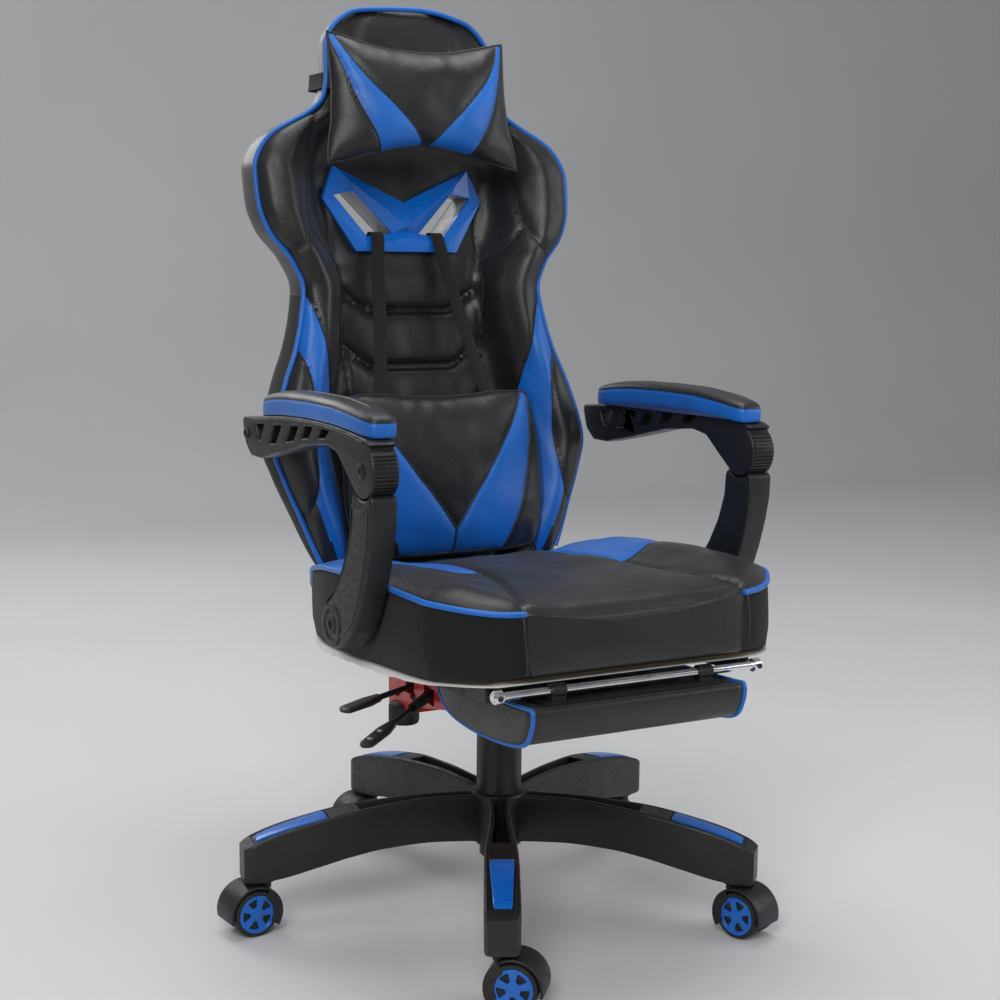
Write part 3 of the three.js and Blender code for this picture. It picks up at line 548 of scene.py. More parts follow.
def tyre_rubber(name, colour):
    """Matt rubber with dust in its grain."""
    material, tree, shader = start_material(name, colour, 0.7)
    space = object_space(tree)
    dust = noise(tree, space, 90, 6, 0.7)
    tree.links.new(bump(tree, noise(tree, space, 1100), 0.0002, 0.5), shader.inputs["Normal"])
    vary_colour(tree, shader, dust, shade(colour, 0.8), shade(colour, 2.2), 0.45, 0.75)
    vary_roughness(tree, shader, dust, 0.6, 0.85, 0.4, 0.7)
    return material


def plain_wood(name, colour):
    """Plywood with its grain running front to rear."""
    material, tree, shader = start_material(name, colour, 0.7)
    space = object_space(tree, (1.0, 0.2, 1.0))
    grain = bands(tree, space, 55, "X", 6.0)
    tree.links.new(bump(tree, grain, 0.0003, 0.4), shader.inputs["Normal"])
    vary_colour(tree, shader, grain, shade(colour, 0.75), shade(colour, 1.1), 0.0, 1.0)
    return material


def fleece(name, colour):
    """Thin non-woven liner: pressed fibres in a spot pattern."""
    material, tree, shader = start_material(name, colour, 0.95)
    space = object_space(tree)
    fibres = noise(tree, object_space(tree, (1.0, 0.3, 1.0)), 700, 4, 0.7)
    under = bump(tree, cells(tree, space, 420), 0.0004, 0.5)
    tree.links.new(bump(tree, fibres, 0.0002, 0.5, under), shader.inputs["Normal"])
    vary_colour(tree, shader, fibres, shade(colour, 0.86), shade(colour, 1.04))
    return material


BLACK = (0.0075, 0.0075, 0.0081)
BLUE = (0.001, 0.125, 0.52)
LEATHER = leather("black_leather", BLACK, 0.40, coat=0.12)
BLUE_LEATHER = leather("blue_leather", BLUE, 0.42, coat=0.08)
SIDE_CLOTH = woven("side_cloth", (0.003, 0.003, 0.0034), 900)
THREAD = woven("stitch_thread", (0.035, 0.035, 0.037), 2500, 0.8)
WEBBING = woven("webbing", (0.009, 0.009, 0.0095), 700)
NYLON = plastic("black_nylon", (0.009, 0.0094, 0.0102), 0.42)
GREY_PLASTIC = plastic("grey_plastic", (0.24, 0.25, 0.26), 0.34)
BLUE_PLASTIC = plastic("blue_plastic", (0.001, 0.13, 0.56), 0.30, 0.00005, 0.3)
TYRE = tyre_rubber("tyre", (0.014, 0.014, 0.0145))
BLACK_STEEL = metal("black_steel", (0.02, 0.02, 0.021), 0.42, 0.3)
RED_STEEL = metal("red_steel", (0.55, 0.018, 0.01), 0.35, 0.1, coat=0.2)
CHROME = metal("chrome", (0.78, 0.79, 0.80), 0.09, 1.0, 0.00008)
LINER = fleece("liner", (0.78, 0.78, 0.76))
PLYWOOD = plain_wood("plywood", (0.45, 0.29, 0.15))


# ---------------------------------------------------------------- sewn skins
def carve(points, seams, width, depth):
    """How far the surface sinks at its seams: a narrow groove in a broader dip."""
    sink = np.zeros(len(points))
    for line in seams:
        distance, _ = nearest_on(points, line)
        groove = depth * np.exp(-(distance / width) ** 2)
        dip = 0.45 * depth * np.exp(-(distance / (width * 3.4)) ** 2)
        sink = np.maximum(sink, groove + dip)
    return sink


def sewn_skin(plan, fixed, lift, seams, panels, cell):
    """A closed skin whose front is a grid over a plan, with its panels cut along the seams.

    plan: rows x front points x (u, v); fixed: rows x side and rear points x (u, v, n);
    lift: gives n for front points; panels: (polygon, material index), the later ones on top;
    cell: about the grid's spacing. Grid points near a seam are moved onto it.
    """
    rows, front = plan.shape[:2]
    flat = plan.reshape(-1, 2).copy()
    held = np.zeros(len(flat), bool)
    edge = np.zeros((rows, front), bool)
    edge[:, [0, -1]] = True
    edge = edge.ravel()
    for line in seams:
        distance, closest = nearest_on(flat, line)
        snap = (distance < 0.52 * cell) & ~edge
        flat[snap] = closest[snap]
        held |= snap
    top = np.column_stack([flat, lift(flat)]).reshape(rows, front, 3)
    rings = np.concatenate([top, fixed], axis=1)
    count = rings.shape[1]
    held_grid = np.zeros((rows, count), bool)
    held_grid[:, :front] = held.reshape(rows, front)
    faces, on_front = [], []
    for r in range(rows - 1):
        for k in range(count):
            k2 = (k + 1) % count
            corner = [(r, k), (r, k2), (r + 1, k2), (r + 1, k)]
            ids = [i * count + j for i, j in corner]
            is_front = k < front - 1
            state = [held_grid[c] for c in corner]
            if is_front and any(state):
                if state[1] and state[3] and not (state[0] and state[2]):
                    pieces = [(ids[0], ids[1], ids[3]), (ids[1], ids[2], ids[3])]
                else:
                    pieces = [(ids[0], ids[1], ids[2]), (ids[0], ids[2], ids[3])]
            else:
                pieces = [tuple(ids)]
            for piece in pieces:
                faces.append(piece)
                on_front.append(is_front)
    points = rings.reshape(-1, 3)
    middles = np.array([points[list(f), :2].mean(axis=0) for f in faces])
    on_front = np.array(on_front)
    which = np.zeros(len(faces), int)
    for polygon, index in panels:
        which[on_front & inside(middles, polygon)] = index
    return rings, faces, which, on_front


def close_ends(rings, faces, which, ends):
    """Domes both open ends of a skin with shrinking rings; ends gives (row, bulge vector, material)."""
    rows, count = rings.shape[:2]
    points = list(rings.reshape(-1, 3))
    faces, which = list(faces), list(which)
    for row, bulge, material in ends:
        ring = rings[row]
        middle = ring.mean(axis=0)
        previous = [row % rows * count + k for k in range(count)]
        for shrink, rise in ((0.93, 0.45), (0.8, 0.8), (0.5, 0.97), (0.2, 1.0)):
            ids = []
            for p in ring:
                ids.append(len(points))
                points.append(middle + (p - middle) * shrink + np.array(bulge, float) * rise)
            for k in range(count):
                faces.append((previous[k], previous[(k + 1) % count], ids[(k + 1) % count], ids[k]))
                which.append(material)
            previous = ids
        faces.append(tuple(previous))
        which.append(material)
    return np.array(points), faces, which


# ---------------------------------------------------------------- backrest
def back_y(z):
    return BACK_FOOT[0] + BACK_SLOPE * (z - BACK_FOOT[1])


def back_to_chair(points):
    """Columns x, z and depth behind the piping's plane, as chair points."""
    x, z, n = np.asarray(points, float).T
    return np.stack([x, back_y(z) + n, z], axis=1)


# How much of the dish and of the bolster shows from the middle, 0, to the edge, 1.
DISH_SHARE = [(0, 1), (0.4, 1), (0.56, 0.9), (0.7, 0.25), (0.84, 0), (1, 0)]
BOLSTER_SHARE = [(0, 0), (0.5, 0), (0.7, 0.5), (0.84, 1), (0.94, 0.8), (1, 0)]

# Seams of the right half: x and height.
WING_SEAM = [(120, 1083), (140, 1066), (151, 1044), (157, 1005), (161, 955), (168, 905), (183, 876),
             (204, 861)]
WING_BRANCH = [(168, 904), (139, 871), (113, 848)]
CENTRE_EDGE = [(121, 948), (115, 905), (115, 851), (112, 798), (108, 726), (105, 668), (102, 600),
               (100, 520), (98, 434)]
BLADE_EDGE = [(182, 814), (172, 786), (161, 750), (152, 705), (146, 665), (142, 600), (139, 540),
              (141, 480), (152, 434)]
LENS_EDGE = [(198, 737), (190, 712), (185, 688), (183, 650), (183, 611), (186, 562), (195, 528), (208, 508)]
CHANNEL_HEIGHTS = [787, 708, 629, 550, 471]
CHANNEL_GAP = 10
# Colour panels that run over a skin's edge are drawn out to this x.
BEYOND = 300


def channel(height):
    """One sewn channel line: level in the middle and rising towards both edges."""
    right = [(60, height), (70, height + 3), (111, height + 34)]
    return on_side(right[::-1], -1) + right


def back_seams():
    lines = []
    for line in (WING_SEAM, WING_BRANCH, CENTRE_EDGE, BLADE_EDGE, LENS_EDGE):
        lines += both_sides(smooth_line(line, 60))
    return lines


BACK_SEAMS = back_seams()
BACK_CHANNELS = [channel(h + shift) for h in CHANNEL_HEIGHTS for shift in (0, -CHANNEL_GAP)]


def back_lift(flat):
    """Depth of the front skin at points x, z: dish, bolsters, seams, channels and folds."""
    x, z = flat.T
    half = curve(BACK_WIDTH, z)
    share = np.clip(np.abs(x) / half, 0, 1)
    depth = curve(BACK_DISH, z) * curve(DISH_SHARE, share)
    depth = depth - curve(BACK_BOLSTER, z) * curve(BOLSTER_SHARE, share)
    depth = depth + carve(flat, BACK_SEAMS, 4.0, 3.2)
    centre = np.clip((118 - np.abs(x)) / 20, 0, 1) * np.clip((850 - z) / 20, 0, 1)
    depth = depth + centre * carve(flat, BACK_CHANNELS, 3.2, 4.6)
    phase = (z - CHANNEL_HEIGHTS[0]) / (CHANNEL_HEIGHTS[0] - CHANNEL_HEIGHTS[1])
    puff = np.abs(np.sin(math.pi * (phase - 0.35 * np.clip((np.abs(x) - 60) / 60, 0, 1)))) ** 0.7
    depth = depth - 3.5 * centre * puff
    edge = np.clip((1 - share) * 9, 0, 1)
    folds = ripple(x, z, 26, 95, 3) * 1.8 + ripple(x + 0.4 * z, z, 17, 52, 5) * 0.9
    return depth - edge * folds * (0.4 + 0.6 * (share > 0.5))


def back_ring(z):
    """Side and rear points of the backrest at one height, from the right edge round to the left."""
    half = float(curve(BACK_WIDTH, z))
    depth = float(curve(BACK_DEPTH, z))
    rim = depth * 0.66
    side = [(half + 0.6, rim * 0.12), (half + 1.2, rim * 0.35), (half + 0.6, rim * 0.6),
            (half - 1.5, rim * 0.82), (half - 7, rim * 0.95)]
    rear = [(s * half, depth * (1 - 0.34 * abs(s) ** 2.4)) for s in np.linspace(0.92, -0.92, 47)]
    return [(x, z, n) for x, n in side + rear + on_side(side[::-1], -1)]


def blade_panels():
    """The blue blades down both sides, each with a black lens let into its outer edge."""
    blade = [(BEYOND, 814), *smooth_line(BLADE_EDGE, 60), (BEYOND, 434), (BEYOND, 420), (150, 420)]
    lens = [*smooth_line(LENS_EDGE, 60), (BEYOND, 508), (BEYOND, 737)]
    return [(on_side(line, side), panel) for side in (1, -1) for line, panel in ((blade, 1), (lens, 0))]


# Corners of the right window: x and height.
WINDOW_CORNERS = [(107, 944), (77, 950), (21, 892), (60, 887)]


def window_outline(side, grow):
    """One window of the mask with its edges moved outwards by grow."""
    corners = np.array(WINDOW_CORNERS, float)
    run = np.roll(corners, -1, axis=0) - corners
    outward = np.stack([run[:, 1], -run[:, 0]], axis=1) / np.linalg.norm(run, axis=1)[:, None]
    before = np.roll(outward, 1, axis=0)
    reach = grow / (1 + (before * outward).sum(axis=1))
    moved = corners + reach[:, None] * (before + outward)
    return [(side * x, z) for x, z in moved]


def back_space(depth):
    """Plates cut in the front view, lying that far behind the piping's plane."""
    return lambda u, v, w: (u, back_y(v) + depth + w, v)


def cut_windows(skin):
    """Cuts both window openings through the backrest's skin."""
    cutters = []
    for side in (1, -1):
        outline = window_outline(side, 2.2)
        cutters.append(slab(f"window_cut_{side}", [outline], -90, 90, 0.01, NYLON, None, back_space(70)))
    for cutter in cutters:
        opening = skin.modifiers.new("window", "BOOLEAN")
        opening.object = cutter
        opening.operation = "DIFFERENCE"
        opening.solver = "EXACT"
    bpy.context.view_layer.update()
    evaluated = skin.evaluated_get(bpy.context.evaluated_depsgraph_get())
    mesh = bpy.data.meshes.new_from_object(evaluated)
    skin.modifiers.clear()
    skin.data = mesh
    for cutter in cutters:
        bpy.data.objects.remove(cutter)
    tidy(skin.data, 60)


# The sides and rear are woven cloth below this height.
CLOTH_TOP = 806


def make_backrest():
    """The padded back: leather in front and round the top, woven cloth on its lower sides and rear."""
    heights = np.concatenate([np.arange(BACK_LOW, 1176, 4.0), np.arange(1177, 1202, 2.0)])
    shares = np.linspace(-1, 1, 121)
    plan = np.array([[(s * curve(BACK_WIDTH, z), z) for s in shares] for z in heights])
    fixed = np.array([back_ring(z) for z in heights])
    seams = BACK_SEAMS + BACK_CHANNELS
    rings, faces, which, on_front = sewn_skin(plan, fixed, back_lift, seams, blade_panels(), 4.0)
    middles = rings.reshape(-1, 3)
    low_side = np.array([middles[list(face), 1].mean() < CLOTH_TOP for face in faces])
    which[~on_front & low_side] = 2
    points, faces, which = close_ends(rings, faces, which, [(0, (0, -5, 0), 2), (-1, (0, 2, 0), 0)])
    covers = [LEATHER, BLUE_LEATHER, SIDE_CLOTH]
    skin = add_object("backrest", back_to_chair(points), faces, covers, which, 60)
    cut_windows(skin)
    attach(skin, "back")
    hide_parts("backrest_cushion")


def back_edge(low, high, forward=1.5):
    """The backrest's outline from the left foot over the top to the right foot."""
    z = np.linspace(low, high, 400)
    half = curve(BACK_WIDTH, z)
    left = np.stack([-half, z, np.full_like(z, -forward)], axis=1)
    right = np.stack([half, z, np.full_like(z, -forward)], axis=1)[::-1]
    return back_to_chair(smooth_line(np.vstack([left[::6], right[::6]]), 420))


def make_back_piping():
    rope = tube("backrest_piping", back_edge(440, 1203.4), PIPING_RADIUS, BLUE_LEATHER, "back", 10)
    for number, line in enumerate(BACK_SEAMS):
        path = back_to_chair(np.column_stack([line, back_lift(line) - 1.2]))
        tube(f"back_seam_{number}", path, 0.9, LEATHER, "back", 6)


def dashes(name, path, normal, offset, body, material, length=4.2, pitch=6.4, half=0.45):
    """Thread stitches as short raised dashes beside a seam; half is half a stitch's width."""
    path = np.asarray(path, float)
    run = np.r_[0, np.cumsum(np.linalg.norm(np.diff(path, axis=0), axis=1))]
    points, faces = [], []
    for start in np.arange(2, run[-1] - length, pitch):
        a = np.array([np.interp(start, run, path[:, k]) for k in range(3)])
        b = np.array([np.interp(start + length, run, path[:, k]) for k in range(3)])
        along = (b - a) / max(np.linalg.norm(b - a), 1e-6)
        up = np.asarray(normal, float)
        across = np.cross(up, along)
        across /= max(np.linalg.norm(across), 1e-6)
        first = len(points)
        for end, tight in ((a, 0.4), (a + along * 0.7, 1), (b - along * 0.7, 1), (b, 0.4)):
            centre = end + across * offset
            for p, q in ((-1, 0), (-0.7, 1), (0.7, 1), (1, 0), (0, -0.6)):
                points.append(centre + across * half * p * tight + up * half * q * tight)
        for ring in range(3):
            for k in range(5):
                i, j = first + ring * 5 + k, first + ring * 5 + (k + 1) % 5
                faces.append((i, j, j + 5, i + 5))
        faces.append(tuple(range(first, first + 5)))
        faces.append(tuple(range(first + 15, first + 20)))
    thread = add_object(name, np.array(points), faces, [material], crease=70)
    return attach(thread, body)


def make_back_stitches():
    forward = (0, -1, 0.17)
    for number, height in enumerate(CHANNEL_HEIGHTS):
        for name, shift in (("upper", 4.5), ("lower", -CHANNEL_GAP - 4.5)):
            line = smooth_line(channel(height + shift), 80)
            path = back_to_chair(np.column_stack([line, back_lift(line) - 0.3]))
            dashes(f"channel_stitch_{number}_{name}", path, forward, 0, "back", THREAD)
    for side in (1, -1):
        for name, seam in (("wing", WING_SEAM), ("centre", CENTRE_EDGE), ("blade", BLADE_EDGE)):
            line = smooth_line(on_side(seam, side), 120)
            path = back_to_chair(np.column_stack([line, back_lift(line) - 1.0]))
            label = "r" if side > 0 else "l"
            dashes(f"{name}_stitch_{label}", path, forward, side * -4.5, "back", THREAD)


# ---------------------------------------------------------------- trim round the windows
# Points of its right half: x, height and how far each lies behind the face's plane.
TRIM_POINTS = {
    "peak": (0, 936, 2.5), "horn": (105, 984.5, 3.0), "shoulder": (124.5, 939, 2.0),
    "heel": (79, 866, 1.0), "heel_top": (66, 878, -1.5), "v_tip": (83, 963, -4.5), "v_foot": (0, 903, -7.5),
    "window_top": (77, 950, 2.5), "window_out": (107, 944, 2.5), "window_low": (60, 887, 2.5),
    "window_in": (21, 892, 2.5), "window_floor": (47, 888, 2.5),
    "arch": (0, 892, 2.5), "arch_low": (0, 886, -3.5), "arch_side": (36, 880, -3.0),
    "bar_side": (40, 866, 0.0), "bar_middle": (0, 866, 0.0), "bar_end": (60, 866, 0.5),
}
TRIM_FACETS = [
    ("peak", "v_foot", "v_tip", "horn"),
    ("v_foot", "arch", "window_in"), ("v_foot", "window_in", "window_top", "v_tip"),
    ("horn", "v_tip", "window_top", "window_out"), ("horn", "window_out", "shoulder"),
    ("shoulder", "window_out", "window_low", "heel_top"), ("shoulder", "heel_top", "heel"),
    ("heel_top", "bar_end", "heel"), ("window_low", "window_floor", "heel_top"),
    ("window_floor", "arch_side", "bar_side", "bar_end", "heel_top"),
    ("arch", "arch_low", "arch_side", "window_in"), ("window_in", "arch_side", "window_floor"),
    ("arch_low", "bar_middle", "bar_side", "arch_side"),
]


def trim_plate(depth):
    """The faceted blue plate: sloping facets in front, flat behind, with crisp rounded creases."""
    points, faces = [], []
    index = {}
    for side in (1, -1):
        for facet in TRIM_FACETS:
            ring = []
            for label in facet:
                x, z, n = TRIM_POINTS[label]
                place = (side * x, z, n)
                if place not in index:
                    index[place] = len(points)
                    points.append(place)
                ring.append(index[place])
            faces.append(ring if side > 0 else ring[::-1])
    front = len(points)
    edges = [edge for face in faces for edge in zip(face, face[1:] + face[:1])]
    rim = [(a, b) for a, b in edges if (b, a) not in edges]
    points += [(x, z, depth) for x, z, _ in points]
    faces += [[k + front for k in reversed(face)] for face in faces]
    faces += [[b, a, a + front, b + front] for a, b in rim]
    placed = back_to_chair(np.array(points, float) + [0, 0, TRIM_FACE])
    plate = add_object("trim_plate", placed, faces, [BLUE_PLASTIC], crease=12)
    bm = bmesh.new()
    bm.from_mesh(plate.data)
    sharp = [e for e in bm.edges if len(e.link_faces) == 2 and e.calc_face_angle(0) > math.radians(9)]
    bmesh.ops.bevel(bm, geom=sharp, offset=0.8 * MM, segments=2, profile=0.6, affect="EDGES",
                    clamp_overlap=True)
    bm.to_mesh(plate.data)
    bm.free()
    tidy(plate.data, 12)
    return plate


def make_trim():
    """The blue plate, grey sleeves through the windows and black frames round them at the rear."""
    space = back_space(TRIM_FACE)
    parts = [trim_plate(10.5)]
    for side in (1, -1):
        sleeve = [window_outline(side, 2.0), window_outline(side, 0.2)]
        parts.append(slab("trim_sleeve", sleeve, 4, 58, 0.5, GREY_PLASTIC, None, space, 30))
        bezel = [window_outline(side, 9), window_outline(side, 0.2)]
        parts.append(slab("trim_bezel", bezel, 53, 60, 2.0, NYLON, None, space, 30))
    trim = join("mask_trim_plates", parts, "back")
    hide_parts("mask_trim")


# ---------------------------------------------------------------- pillows
def pillow_skin(name, node, half_width, low, high, middle, thick, seams, panels, shift, seed, corner):
    """A stuffed pillow: front and rear swell out of one seam round the edge.

    half_width, low and high give its outline, middle the depth of its edge, thick how far it
    swells in front and at the rear, shift how far it hangs to one side.
    """
    front_thick, rear_thick = thick

    def place_of(u, v):
        x = u * curve(half_width, v)
        return x, curve(low, np.abs(x)) + v * (curve(high, np.abs(x)) - curve(low, np.abs(x)))

    def swell(flat):
        x, z = flat.T
        x = x - shift
        v = np.clip((z - curve(low, np.abs(x))) / (curve(high, np.abs(x)) - curve(low, np.abs(x))), 0, 1)
        u = np.clip(x / curve(half_width, v), -1, 1)
        return u, v, (1 - np.abs(u) ** corner) ** 0.55 * (1 - np.abs(2 * v - 1) ** corner) ** 0.55

    def lift(flat):
        u, v, share = swell(flat)
        x, z = flat.T
        border = np.clip(1.25 - share, 0, 1)
        across = ripple(x, z, 15, 60, seed) * np.clip(np.abs(2 * v - 1) * 1.6 - 0.5, 0, 1)
        upright = ripple(x, z, 60, 14, seed + 1) * np.clip(np.abs(u) * 1.6 - 0.5, 0, 1)
        soft = ripple(x + 0.5 * z, z - 0.4 * x, 34, 40, seed + 2)
        creases = (2.4 * across + 2.4 * upright) * border + 1.7 * soft
        sink = carve(flat, seams, 3.6, 3.0)
        return middle - front_thick * share - creases * share ** 0.5 + sink * share ** 0.5

    u_steps, v_steps = np.linspace(-1, 1, 75), np.linspace(0, 1, 57)
    u_steps = np.sign(u_steps) * (1 - (1 - np.abs(u_steps)) ** 1.25)
    plan, fixed = [], []
    for v in v_steps:
        x, z = place_of(u_steps, np.full_like(u_steps, v))
        row = np.column_stack([x + shift, z])
        plan.append(row)
        share = swell(row)[2]
        rear = middle + rear_thick * share + 1.0 * ripple(row[:, 0], row[:, 1], 40, 40, seed + 4) * share
        fixed.append(np.column_stack([row, rear])[-2:0:-1])
    rings, faces, which = sewn_skin(np.array(plan), np.array(fixed), lift, seams, panels, 3.4)[:3]
    rows, count = rings.shape[:2]
    points = rings.reshape(-1, 3)
    which = list(which)
    for row in (0, rows - 1):
        front = [row * count + k for k in range(len(u_steps))]
        back = [row * count] + [row * count + count - k for k in range(1, len(u_steps) - 1)] + [front[-1]]
        for k in range(len(u_steps) - 1):
            faces.append((front[k], front[k + 1], back[k + 1], back[k]))
            which.append(0)
    obj = add_object(name, back_to_chair(points), faces, [LEATHER, BLUE_LEATHER], which, 60)
    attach(obj, "back")
    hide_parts(node)
    up, over = np.linspace(0, 1, 40), np.linspace(-1, 1, 60)
    border = [(-1, v) for v in up] + [(u, 1) for u in over[1:]]
    border += [(1, v) for v in up[-2::-1]] + [(u, 0) for u in over[-2:0:-1]]
    border = np.array(border)
    x, z = place_of(border[:, 0], border[:, 1])
    loop = back_to_chair(np.column_stack([x + shift, z, np.full_like(x, middle)]))
    rim = closed_tube(name + "_edge", loop, 1.9, LEATHER, "back")
    return lift


# Edges of the right blue panel of each pillow, and how far the pillow hangs to one side.
HEAD_SHIFT = -8
HEAD_OUTER = [(133, 1158), (128, 1140), (115, 1100), (98, 1056), (78, 1020), (64, 992)]
HEAD_INNER = [(124, 1156), (108, 1124), (86, 1095), (54, 1064), (26, 1036), (2, 1008)]
LUMBAR_SHIFT = 5
LUMBAR_V = [(0, 487), (34, 537), (52, 560), (76, 595), (100, 627), (128, 672)]
LUMBAR_OUTER = [(139, 668), (135, 630), (130, 600), (109, 520), (82, 455)]


def make_head_pillow():
    seams, panels = [], []
    for side in (1, -1):
        outer = on_side(smooth_line(HEAD_OUTER, 50), side, HEAD_SHIFT)
        inner = on_side(smooth_line(HEAD_INNER, 50), side, HEAD_SHIFT)
        seams += [outer, inner]
        panels.append((outer + inner[::-1], 1))
    width = [(0, 144), (0.12, 142), (0.35, 134), (0.6, 131), (1, 133)]
    low = [(0, 1012), (40, 1006), (80, 997), (110, 989), (144, 982)]
    high = [(0, 1137), (40, 1139), (80, 1146), (110, 1153), (144, 1160)]
    lift = pillow_skin("head_pillow_skin", "head_pillow", width, low, high, -45, (38, 30), seams, panels,
                       HEAD_SHIFT, seed=21, corner=2.8)
    add_pillow_seams("head_seam", seams, lift, 0.8)


def make_lumbar_pillow():
    seams, panels = [[(LUMBAR_SHIFT, 487), (LUMBAR_SHIFT, 450)]], []
    for side in (1, -1):
        inner = on_side(smooth_line(LUMBAR_V, 60), side, LUMBAR_SHIFT)
        outer = on_side(smooth_line(LUMBAR_OUTER, 60), side, LUMBAR_SHIFT)
        seams += [inner, outer]
        panels.append((inner + outer + [(LUMBAR_SHIFT, 440)], 1))
    width = [(0, 134), (0.12, 146), (0.35, 153), (0.7, 150), (1, 138)]
    low = [(0, 449), (60, 449), (110, 452), (153, 462)]
    high = [(0, 665), (50, 667), (90, 671), (125, 670), (153, 662)]
    lift = pillow_skin("lumbar_pillow_skin", "lumbar_pillow", width, low, high, -15, (36, 34), seams, panels,
                       LUMBAR_SHIFT, seed=41, corner=2.6)
    add_pillow_seams("lumbar_seam", seams, lift, 1.5)


def add_pillow_seams(name, seams, lift, radius):
    for number, seam in enumerate(seams):
        line = np.array(seam, float)
        if len(line) < 10:
            line = smooth_line(line, 20)
        path = back_to_chair(np.column_stack([line, lift(line) - radius * 0.4]))
        tube(f"{name}_{number}", path, radius, LEATHER, "back", 8)


# ---------------------------------------------------------------- straps
def make_head_band():
    """A hollow elastic band round the top of the backrest, with a thicker hem along both edges."""
    rings = []
    corner = 2 / 9
    across, along = squared(np.linspace(0, 2 * math.pi, 160, endpoint=False), corner, corner)
    for z, grow in ((1085.5, 3.6), (1087, 4.8), (1089, 4.3), (1105, 4.3), (1107, 4.8), (1108.5, 3.6)):
        half = float(curve(BACK_WIDTH, z)) + grow
        n = 27 + (31 + grow) * along
        rings.append(back_to_chair(np.column_stack([half * across, np.full_like(n, z), n])))
    inner = []
    for ring in rings[::-1]:
        away = ring - ring.mean(axis=0)
        inner.append(ring - away * (1.2 / np.maximum(np.linalg.norm(away, axis=1), 1))[:, None])
    band = loft("head_band_elastic", rings + inner + rings[:1], [WEBBING], "back", cap=False)
    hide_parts("head_band")


# From behind the trim, over its bar and down to the pillow: x, height and depth.
STRAP_ROUTE = [(46, 884, 66), (46.5, 892, 58), (47, 893.5, 50), (47, 888, 43), (48.5, 878, 41), (54, 840, 35),
               (60, 798, 24), (66, 756, 12), (74, 711, 2), (82, 667, -8)]
STRAP_SECTION = [(-10, 0), (-9.2, -0.8), (9.2, -0.8), (10, 0), (9.2, 0.8), (-9.2, 0.8)]


def make_lumbar_straps():
    for label, side in (("l", -1), ("r", 1)):
        rows = []
        for x, z, n in smooth_line(STRAP_ROUTE, 60):
            rows.append([(side * x + a, back_y(z) + n + b, z) for a, b in STRAP_SECTION])
        strap = loft(f"lumbar_strap_{label}_webbing", rows, [WEBBING], "back", crease=50)
        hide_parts(f"lumbar_strap_{label}")


# ---------------------------------------------------------------- seat
def seat_to_chair(points):
    """Columns x, y and height above the seat board's underside, turned to the seat's pitch."""
    x, y, h = np.asarray(points, float).T
    c, s = math.cos(SEAT_PITCH), math.sin(SEAT_PITCH)
    return np.stack([x, y * c + h * s, SEAT_BOTTOM - y * s + h * c], axis=1)


# How much of the crown and of the dish shows from the middle, 0, to the edge, 1.
CROWN_SHARE = [(0, 1), (0.82, 1), (0.92, 0.72), (1, 0)]
SEAT_DISH_SHARE = [(0, 1), (0.5, 0.95), (0.66, 0.5), (0.8, 0), (1, 0)]
# Seams of the right half: x and y.
BOLSTER_SEAM = [(110, 186), (104, 110), (98, 20), (96, -70), (100, -145), (112, -215), (132, -280),
                (150, -336)]
PANEL_SEAM = [(238, -34), (206, -62), (166, -92), (132, -120), (100, -145)]
SEAT_SEAMS = both_sides(smooth_line(BOLSTER_SEAM, 80)) + both_sides(smooth_line(PANEL_SEAM, 50))


def seat_lift(flat):
    """Height of the seat's top at points x, y: crown, dish, seams and folds."""
    x, y = flat.T
    half = curve(SEAT_HALF, y)
    share = np.clip(np.abs(x) / half, 0, 1)
    edge, crown = curve(SEAT_EDGE, y), curve(SEAT_CROWN, y)
    dish = np.interp(y, [SEAT_FRONT, -250], [5, 11])
    height = edge + (crown - edge) * curve(CROWN_SHARE, share) - dish * curve(SEAT_DISH_SHARE, share)
    height = height - carve(flat, SEAT_SEAMS, 4.2, 3.4)
    folds = ripple(x, y, 70, 55, 61) * 1.8 + ripple(x - 0.5 * y, y, 30, 24, 63) * 0.7
    return height + folds * np.clip((1 - share) * 8, 0, 1)


def seat_wall(y):
    """Side and underside points of the seat at one station, from the right edge round to the left."""
    half, edge = float(curve(SEAT_HALF, y)), float(curve(SEAT_EDGE, y))
    inset = 8 if y < -320 else 2
    bulge = 2.2 * math.sin(math.pi * min(1, (y - SEAT_FRONT) / 520))
    wall = [(half - 0.5, edge - 7), (half + bulge * 0.6, edge * 0.75), (half + bulge, edge * 0.5),
            (half + bulge * 0.5, edge * 0.28 + 3), (half - 4, inset + 3), (half - 9, inset)]
    floor = [(half * t, inset) for t in np.linspace(0.9, -0.9, 25)]
    return [(x, y, h) for x, h in wall + floor + on_side(wall[::-1], -1)]


def seat_panels():
    """The blue panels of both seat bolsters, behind their cross seams."""
    front_edge = [tuple(p) for p in smooth_line(PANEL_SEAM, 50)]
    inner_edge = [(u, v) for u, v in smooth_line(BOLSTER_SEAM, 80) if v > PANEL_SEAM[-1][1]]
    panel = [(BEYOND, -30), *front_edge, *inner_edge[::-1], (BEYOND, 190)]
    return [(on_side(panel, side), 1) for side in (1, -1)]


